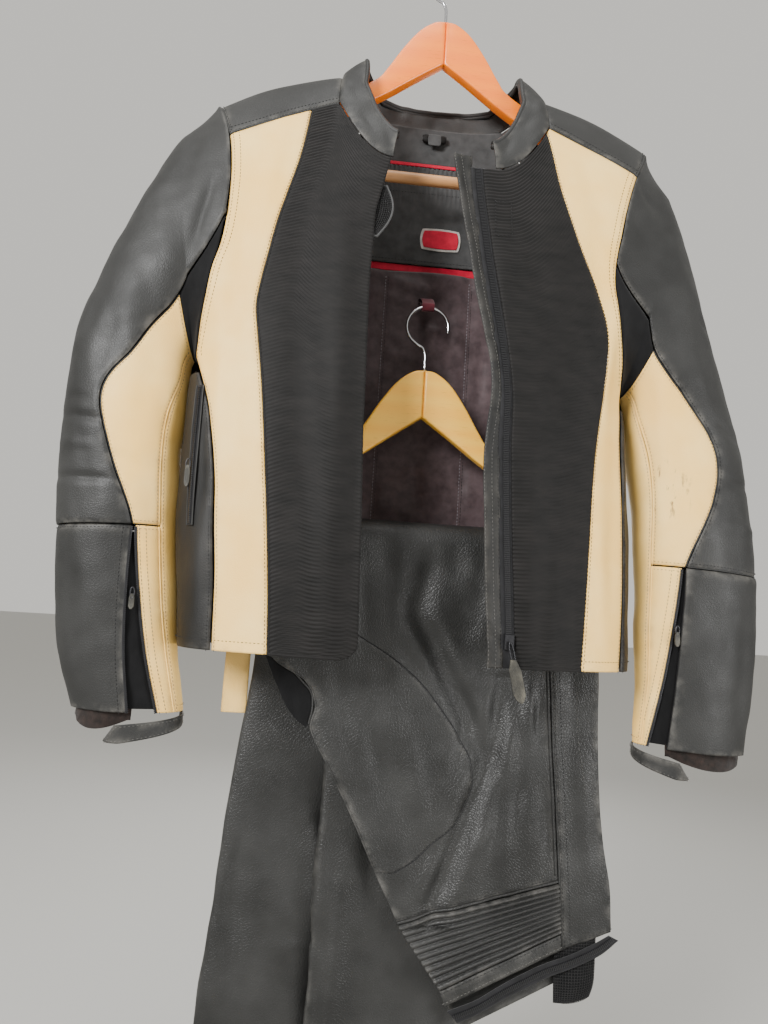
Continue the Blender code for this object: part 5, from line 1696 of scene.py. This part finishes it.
def repeat_tree(name, round_shape):
    """A tree that sets a small ball or box at each pitch along the lines."""
    tree, given, output = tree_with(
        name, ("Pitch", "NodeSocketFloat"), ("Size", "NodeSocketVector"), ("Facing", "NodeSocketVector"),
        ("Material", "NodeSocketMaterial"),
    )
    curve = add(tree, "GeometryNodeMeshToCurve", {"Mesh": given["Geometry"]}).outputs[0]
    spots = add(tree, "GeometryNodeCurveToPoints", {"Curve": curve, "Length": given["Pitch"]}, mode="LENGTH")
    if round_shape:
        shape = add(tree, "GeometryNodeMeshIcoSphere", {"Radius": 0.5, "Subdivisions": 1}).outputs[0]
    else:
        shape = add(tree, "GeometryNodeMeshCube", {"Size": (1, 1, 1)}).outputs[0]
    faced = add(
        tree, "FunctionNodeAlignRotationToVector", {"Vector": given["Facing"]}, axis="Z", pivot_axis="AUTO",
    ).outputs[0]
    turned = add(
        tree, "FunctionNodeAlignRotationToVector", {"Rotation": faced, "Vector": spots.outputs["Tangent"]},
        axis="X", pivot_axis="Z",
    ).outputs[0]
    placed = add(
        tree, "GeometryNodeInstanceOnPoints",
        {"Points": spots.outputs[0], "Instance": shape, "Rotation": turned, "Scale": given["Size"]},
    ).outputs[0]
    finish_tree(tree, placed, given["Material"], output)
    return tree


STITCH_TREE = repeat_tree("stitches", True)
COIL_TREE = repeat_tree("zip coil", False)


def repeat(name, lines, tree, pitch, size, facing, finish):
    """Runs a tree along lines, with its sizes in millimetres."""
    thing = guide(name, lines)
    run_tree(
        thing, tree, Pitch=pitch * MM, Size=[side * MM for side in size], Facing=facing, Material=finish
    )
    if tree is STITCH_TREE:
        thing.data.shade_smooth()
    belongs(thing)
    print(name, "triangles:", sum(len(face.vertices) - 2 for face in thing.data.polygons))


# %% [markdown]
# ## Zips
#
# The front zip's coil runs down its tape to the slider. The cuff zips are open, so a coil lies along each
# side of the opening. The pocket's and the waist's coils run down the middle of their tapes.

# %% Zip coils
COIL_PITCH, FORWARDS = 1.7, (0, -1, 0)
front_run = [on_panel(zip_tape, [(0.5, 0.005), (0.5, 0.5), (0.5, 0.94)], 0.7, 120)]
repeat("front_zip_coil", front_run, COIL_TREE, COIL_PITCH, (1.0, 5.2, 1.5), FORWARDS, COIL)
cuff_runs = []
for side, _ in SIDES:
    cuff_runs.append(beside(sleeves[side]["forearm"], "r", -0.6, -0.4, 0.03, 1.0))
    cuff_runs.append(beside(sleeves[side]["cream_cuff"], "l", -0.6, -0.4, 0.03, 1.0))
tube("cuff_zip_tapes", cuff_runs, 1.1, TAPE, sides=6)
repeat("cuff_zip_coils", cuff_runs, COIL_TREE, COIL_PITCH, (0.9, 3.0, 1.6), FORWARDS, GUNMETAL)
waist_run = [on_panel(waist_zip, [(0.5, 0.01), (0.5, 0.5), (0.5, 0.99)], 0.7, 90)]
repeat("waist_zip_coil", waist_run, COIL_TREE, 1.8, (1.0, 4.4, 1.5), FORWARDS, COIL)


def pocket_form(u, v):
    z = mix(-508, -640, v)
    angle = side_angle(read(BODY_WIDTH, "right", z) - POCKET_INSET, z, "right")
    return side_point(angle + mix(-0.045, 0.045, u), z, "right", -1, LAYER)


pocket = cloth(
    "pocket_zip_tape", pocket_form, (0, 0, -570), TAPE, 0.6, 1.6, lambda p: side_creases(p) + 0.5, "",
)
dress(pocket, "pocket_zip")
pocket_run = [on_panel(pocket, [(0.5, 0.02), (0.5, 0.5), (0.5, 0.98)], 0.6, 60)]
repeat("pocket_zip_coil", pocket_run, COIL_TREE, COIL_PITCH, (1.0, 4.0, 1.4), (-1, -0.4, 0), COIL)
welts = [beside(pocket, border, -0.5, 0.0) for border in "lr"]
tube("pocket_welts", welts, 0.7, BLACK_LEATHER)

# %% [markdown]
# ## Slider and pulls
#
# A pull is a wire loop through the slider's bridge, with a tab of hide folded through it. Each one turns
# about its own pivot, so it rides on its own body, and the pivots come from the frame's joints.

# %% Pulls
PIVOTS = {joint["child"]: np.array(joint["pos_m"]) / MM for joint in frame["record"]["behaviour"]["joints"]}
TAB_LEATHER = leather("waxed tab hide", "#2a2925", "#3d3b34", "#7d786a", (0.4, 0.6), 2.0, 0.08, 0.5)
PULLS = (
    ("front_pull", "front_zip_pull", 17, 35, 11, 12),
    ("right_cuff_pull", "sleeve_right_zip_pull", 8, 12, 5, 0),
    ("left_cuff_pull", "sleeve_left_zip_pull", 8, 12, 5, 0),
    ("pocket_pull", "pocket_zip_pull", 8, 18, 5, 0),
)
for body_name, node, metal_length, tab_length, tab_width, lean in PULLS:
    pivot = PIVOTS[body_name]
    turns = np.linspace(0, 2 * pi, 33)
    slant = lean / (metal_length + tab_length)
    loop_z = -metal_length / 2 + (metal_length / 2 + 1.0) * np.cos(turns)
    loop = points(1.9 * np.sin(turns) + slant * -loop_z, 0 * turns, loop_z) + pivot
    tube(f"{node}_loop", [loop], 0.75, GUNMETAL, body_name, node=node)

    def tab_form(u, v, pivot=pivot, m=metal_length, t=tab_length, w=tab_width, slant=slant):
        z = -m + 3 - (t + 2) * v
        narrow = 0.45 + 0.55 * np.clip(v * 4, 0, 1)
        round_end = np.sqrt(np.clip((1 - v) * 5, 0.08, 1))
        x = (u - 0.5) * w * narrow * round_end + slant * -z
        return points(x, 0.4 * np.sin(3 * v) - 0.9 + 0 * x, z) + pivot

    tab = cloth(f"{node}_tab", tab_form, tuple(pivot + (0, 50, 0)), TAB_LEATHER, 1.6, 0.9, None, "")
    belongs(tab.thing, body_name)
slider = frame["nodes"]["front_zip_slider"]
slider.material_slots[0].material = GUNMETAL
print("pulls at:", {name: pivot.round(1).tolist() for name, pivot in PIVOTS.items()})

# %% [markdown]
# ## Nets
#
# A net is mostly holes, so it is real geometry: a coarse grid that the Wireframe modifier turns into
# strands.


# %% Nets
def net(name, form, inside, node, cell):
    """A thin dark backing and, in front of it, the strands of the net."""
    waves = lambda p: 0.8 * uneven(p, 18, 80)
    backing = cloth(f"{name}_backing", form, inside, KNIT, 0.3, 2.5, lambda p: waves(p) - 0.6, "")
    strands = cloth(name, form, inside, NET, 0, cell, waves, "").thing
    wires = strands.modifiers.new("strands", "WIREFRAME")
    wires.thickness = 0.6 * MM
    belongs(strands)
    return dress(backing, node)


def flap_net_form(u, v):
    z = mix(-296, -352, v)
    edge = read(FRONT_EDGE, "right", z)
    return body(-mix(edge + 16, edge - 3 - 12 * np.sin(pi * v), u), z, -1, -TEXTILE - LAYER)


def trouser_net_form(u, v):
    x = mix(150, 189 - 4 * np.clip(4 * v - 3, 0, 1) ** 2, u)
    return points(x, LOWER_Y - 28 + 1.5 * np.sin(5 * u + 3 * v), mix(-985, -1058 + 5 * u**6, v))


flap_net = net("inner_pocket_net", flap_net_form, (0, 0, -320), "jacket_mesh_flap", 1.8)
flap_edges = (beside(flap_net, "t", 0, 0), beside(flap_net, "r", 0, 0), beside(flap_net, "b", 0, 0)[::-1])
tube("inner_pocket_binding", [np.concatenate(flap_edges)], 1.1, FACING)
net("trouser_net", trouser_net_form, (160, 100, -1000), "trousers_mesh_lining", 2.2)
print("nets made")

# %% [markdown]
# ## Plain badge and size label
#
# The real suit has printed labels. Here they are plain: a woven rectangle with a pale border and a small
# tab at the neck, both without lettering.


# %% Badge and label
def badge_form(width, height, centre, depth):
    def form(u, v):
        a, b = 2 * u - 1, 2 * v - 1
        x = centre[0] + width / 2 * a * np.sqrt(1 - 0.2 * b**2)
        z = centre[1] - height / 2 * b * np.sqrt(1 - 0.2 * a**2)
        return body(x, z, 1, -depth)

    return form


BADGE_MIDDLE = (14, -293)
PALE_WEAVE = woven("pale woven border", "#a9a4a0", "#c8c3bd", 0.8, 0.7, 0.2)
WOVEN_LABELS = (
    ("badge_border", 46, 26, BADGE_MIDDLE, 1.2, PALE_WEAVE, "grey_facing"),
    ("badge_field", 41, 21, BADGE_MIDDLE, 2.0, RED, "red_trim"),
    ("neck_label", 15, 13, (0, -180), 7.4, FACING, "grey_facing"),
)
for name, width, height, centre, lift, finish, slot in WOVEN_LABELS:
    form = badge_form(width, height, centre, NECK_DEPTH + lift)
    panel = cloth(name, form, (0, 400, -300), finish, 0.6, 1.5, None, "")
    belongs(panel.thing)
print("badge made")

# %% [markdown]
# ## Hangers
#
# Each hanger is two arms of varnished beech, butted and glued in the middle, with a turned dowel between
# them and a chrome wire hook. An arm is a flat outline with rounded edges: a filled curve with a bevel.

# %% Hangers
ARM_TOP = (
    (0, 0), (12, -2), (28, -14), (45, -37), (60, -62), (72, -77), (108, -99), (150, -121), (186, -139),
    (204, -152),
)
ARM_END = ((202, -168), (199, -191), (186, -191))
ARM_UNDER = ((186, -170), (150, -150), (108, -123), (66, -97), (30, -71), (0, -50))
EDGE_ROUND = 2.4


def smooth_line(corners, count):
    corners = np.array(corners, float)
    at = np.linspace(0, len(corners) - 1, count)
    return np.stack([smooth_read(range(len(corners)), corners[:, k], at) for k in range(2)], -1)


def arm(sign, top, y):
    """One arm's points and faces, from a filled outline that is turned upright."""
    outline = np.concatenate([smooth_line(ARM_TOP, 60), ARM_END, smooth_line(ARM_UNDER, 40)])
    outline[:, 0] = np.maximum(outline[:, 0], 0.12)
    curve = bpy.data.curves.new("arm", "CURVE")
    curve.dimensions, curve.fill_mode = "2D", "BOTH"
    curve.extrude = (WOOD / 2 - EDGE_ROUND) * MM
    curve.bevel_depth, curve.bevel_resolution, curve.offset = EDGE_ROUND * MM, 3, -EDGE_ROUND * MM
    line = curve.splines.new("POLY")
    line.use_cyclic_u = True
    line.points.add(len(outline) - 1)
    for spot, (x, z) in zip(line.points, outline):
        spot.co = (sign * x * MM, (top + z) * MM, 0, 1)
    thing = linked("arm", curve)
    mesh = finished_mesh(thing)
    bpy.data.objects.remove(thing)
    flat = np.empty(len(mesh.vertices) * 3)
    mesh.vertices.foreach_get("co", flat)
    flat = flat.reshape(-1, 3)
    turned = np.stack([flat[:, 0], y * MM - flat[:, 2], flat[:, 1]], -1)
    return turned, [tuple(face.vertices) for face in mesh.polygons]

# %% Hooks and whole hangers
def hook_route(top, y):
    """The wire's middle line: a bent stem and nearly three quarters of a circle."""
    centre = top + HOOK_HEIGHT + WIRE_RADIUS - HOOK_RADIUS
    stem = [(0, top + 0.3), (0, top + 10), (-0.4, top + 19), (-3.4, top + 26), (-8.6, centre - 20)]
    turns = np.radians(np.arange(222, -14, -5))
    bend = np.stack([1 + HOOK_RADIUS * np.cos(turns), centre + HOOK_RADIUS * np.sin(turns)], -1)
    line = smooth_line(np.concatenate([stem, bend]), 160)
    return points(line[:, 0], y, line[:, 1])


def hanger(name, top, y, finish):
    """Two arms welded into one mesh, with the bar and the hook."""
    verts, faces = np.zeros((0, 3)), []
    for sign in (-1, 1):
        more, their_faces = arm(sign, top, y)
        faces += [tuple(i + len(verts) for i in face) for face in their_faces]
        verts = np.concatenate([verts, more])
    mesh = bpy.data.meshes.new(name)
    mesh.from_pydata(verts, [], faces)
    clean = bmesh.new()
    clean.from_mesh(mesh)
    bmesh.ops.remove_doubles(clean, verts=clean.verts, dist=0.02 * MM)
    bmesh.ops.recalc_face_normals(clean, faces=clean.faces)
    clean.to_mesh(mesh)
    clean.free()
    mesh.shade_smooth()
    mesh.set_sharp_from_angle(angle=radians(35))
    mesh.materials.append(finish)
    belongs(linked(f"{name}_arms", mesh), node=f"{name}_wood")
    bar = [(x, y, top - BAR_DROP) for x in np.linspace(-BAR_HALF, BAR_HALF, 60)]
    tube(f"{name}_dowel", [bar], BAR_RADIUS, DOWEL, sides=28, node=f"{name}_bar")
    tube(f"{name}_wire", [hook_route(top, y)], WIRE_RADIUS, CHROME, sides=14, node=f"{name}_hook")
    print(name, "faces:", len(mesh.polygons))


hanger("hanger_upper", UPPER_TOP, 0, ORANGE_WOOD)
hanger("hanger_lower", LOWER_TOP, LOWER_Y, PALE_WOOD)

# %% [markdown]
# ## Last seams
#
# Piped edges run round the stretch crescent and down the hip. A roll closes the seam at the collar's foot
# and another one each front's hem. Pressed seams show where the legs' pieces meet.

# %% Seam rolls
hip_rolls = [beside(hip, "l", 0.3, 0.3, 0.25), beside(seat, "r", 2.4, 0.5, 0.25, 0.96)]
tube("hip_piping", hip_rolls, 1.1, TROUSER_LEATHER)
base_lines = [beside(collar, "b", 0.4, -0.9), beside(collar, "b", 0.4, 0.2)]
base_lines.append([point + (0, 1.5, -2.4) for point in base_lines[0]])
tube("collar_base_roll", base_lines, 2.7, BLACK_LEATHER)
tube("crescent_piping", [beside(crescent, "r", 0.0, 0.8)], 1.0, TROUSER_LEATHER)
tube("lumbar_cord", [beside(seat, "b", 0.5, 0.4)], 1.5, TROUSER_LEATHER)
front_hems = [beside(fronts[side][0], "b", 0.8, 0.2) for side, _ in SIDES]
tube("front_hems", front_hems, 1.5, RIBBED)
tube("front_edge_roll", [beside(fronts["right"][0], "r", 0.8, 0.2)], 1.4, RIBBED)
seams["grey"].append(on_panel(hip, [(0.45, 0.32), (0.5, 0.45), (0.62, 0.62), (0.66, 0.7)], 0.3, 60))
LEG_SEAMS = (
    ("back", ((0.395, 0.0), (0.39, 0.3), (0.385, 0.65), (0.38, 0.98))),
    ("back", ((0.345, 0.13), (0.33, 0.22), (0.33, 0.32), (0.30, 0.39), (0.27, 0.41))),
    ("back", ((0.24, 0.66), (0.34, 0.655), (0.42, 0.65))),
    ("front", ((0.33, 0.62), (0.37, 0.625), (0.41, 0.63))),
)
seam_lines = [on_panel(legs[which], route, -0.3, 90) for which, route in LEG_SEAMS]
seam_lines.append(beside(patch, "r", 0.2, -0.2))
tube("pressed_seams", seam_lines, 0.75, BLACK_THREAD, sides=6)
leg_rolls = [
    on_panel(legs["back"], [(0.40, 0.0), (0.395, 0.5), (0.385, 1.0)], 0.0, 90),
    on_panel(legs["front"], [(0.29, 0.47), (0.33, 0.56), (0.385, 0.68)], 0.0, 60),
]
tube("leg_piping", leg_rolls, 1.0, TROUSER_LEATHER)
print("lines of thread so far:", {name: len(lines) for name, lines in seams.items()})

# %% Under the arms
ARMPITS = (("right", -1, 204, 243), ("left", 1, 186, 220))
for side, sign, near, far in ARMPITS:
    armpit = cloth(
        f"underarm_{side}",
        lambda u, v, sign=sign, near=near, far=far: points(
            sign * mix(near, far, u), 16 - 14 * np.sin(pi * u), mix(-462, -516, v)
        ),
        (0, 300, -480), KNIT, 0.8, 3.0, None, "",
    )
    belongs(armpit.thing)
print("armpits:", [row[0] for row in ARMPITS])

# %% All stitches
CHEST_BOX = np.array([(51, -302), (67, -301), (68, -338), (52, -340), (51, -302)], float)
chest_at = np.linspace(0, 4, 80)
chest_x, chest_z = (np.interp(chest_at, range(5), CHEST_BOX[:, k]) for k in range(2))
seams["black"].append(body(chest_x, chest_z, -1, 1.3))
STITCH_PITCH, STITCH_SIZE = 3.6, (2.7, 0.6, 0.5)
THREADS = {"black": BLACK_THREAD, "grey": GREY_THREAD, "cream": CREAM_THREAD, "pale": PALE_THREAD}
for thread, lines in seams.items():
    repeat(
        f"stitches_{thread}", lines, STITCH_TREE, STITCH_PITCH, STITCH_SIZE, FORWARDS, THREADS[thread],
    )

# %% [markdown]
# ## Floor and light
#
# A pale floor far below and an even pale surround, as in a room with white walls. A large soft light
# stands in front on the wearer's right, at half height, and a weaker one on the left.

# %% Floor
FLOOR_SIZE, FLOOR_Z = 30, -1.35
bpy.ops.mesh.primitive_plane_add(size=FLOOR_SIZE, location=(0, 0, FLOOR_Z))
floor = bpy.context.object
floor.name = "floor"
floor.data.materials.append(new_material("pale painted floor", Roughness=0.9, Base_Color=tint("#b9b8b4"))[0])
print("floor at", floor.location.z)

# %% Light
world = bpy.data.worlds.new("pale surround")
world.use_nodes = True
surround = world.node_tree.nodes["Background"]
surround.inputs["Color"].default_value = tint("#c6c4bf")
surround.inputs["Strength"].default_value = 1.3
bpy.context.scene.world = world
LIGHT_AIM = (0, 0, -0.6)
LIGHTS = (
    ("key", (-1.6, -1.9, 0.3), 0.9, 110.0), ("fill", (1.6, -1.6, -0.7), 1.0, 34.0),
    ("above", (-0.2, -0.7, 1.3), 1.0, 14.0), ("behind", (0.3, 1.8, 0.2), 1.6, 18.0),
)
for name, place, size, power in LIGHTS:
    data = bpy.data.lights.new(name, "AREA")
    data.shape, data.size, data.energy = "DISK", size, power
    lamp = linked(name, data)
    aim = Vector(LIGHT_AIM) - Vector(place)
    lamp.matrix_world = aim.to_track_quat("-Z", "Y").to_matrix().to_4x4()
    lamp.location = place
print("lights:", [light[0] for light in LIGHTS])

# %% Sizes and the end
print("flat sizes in mm:", CUTS)
bpy.context.view_layer.update()
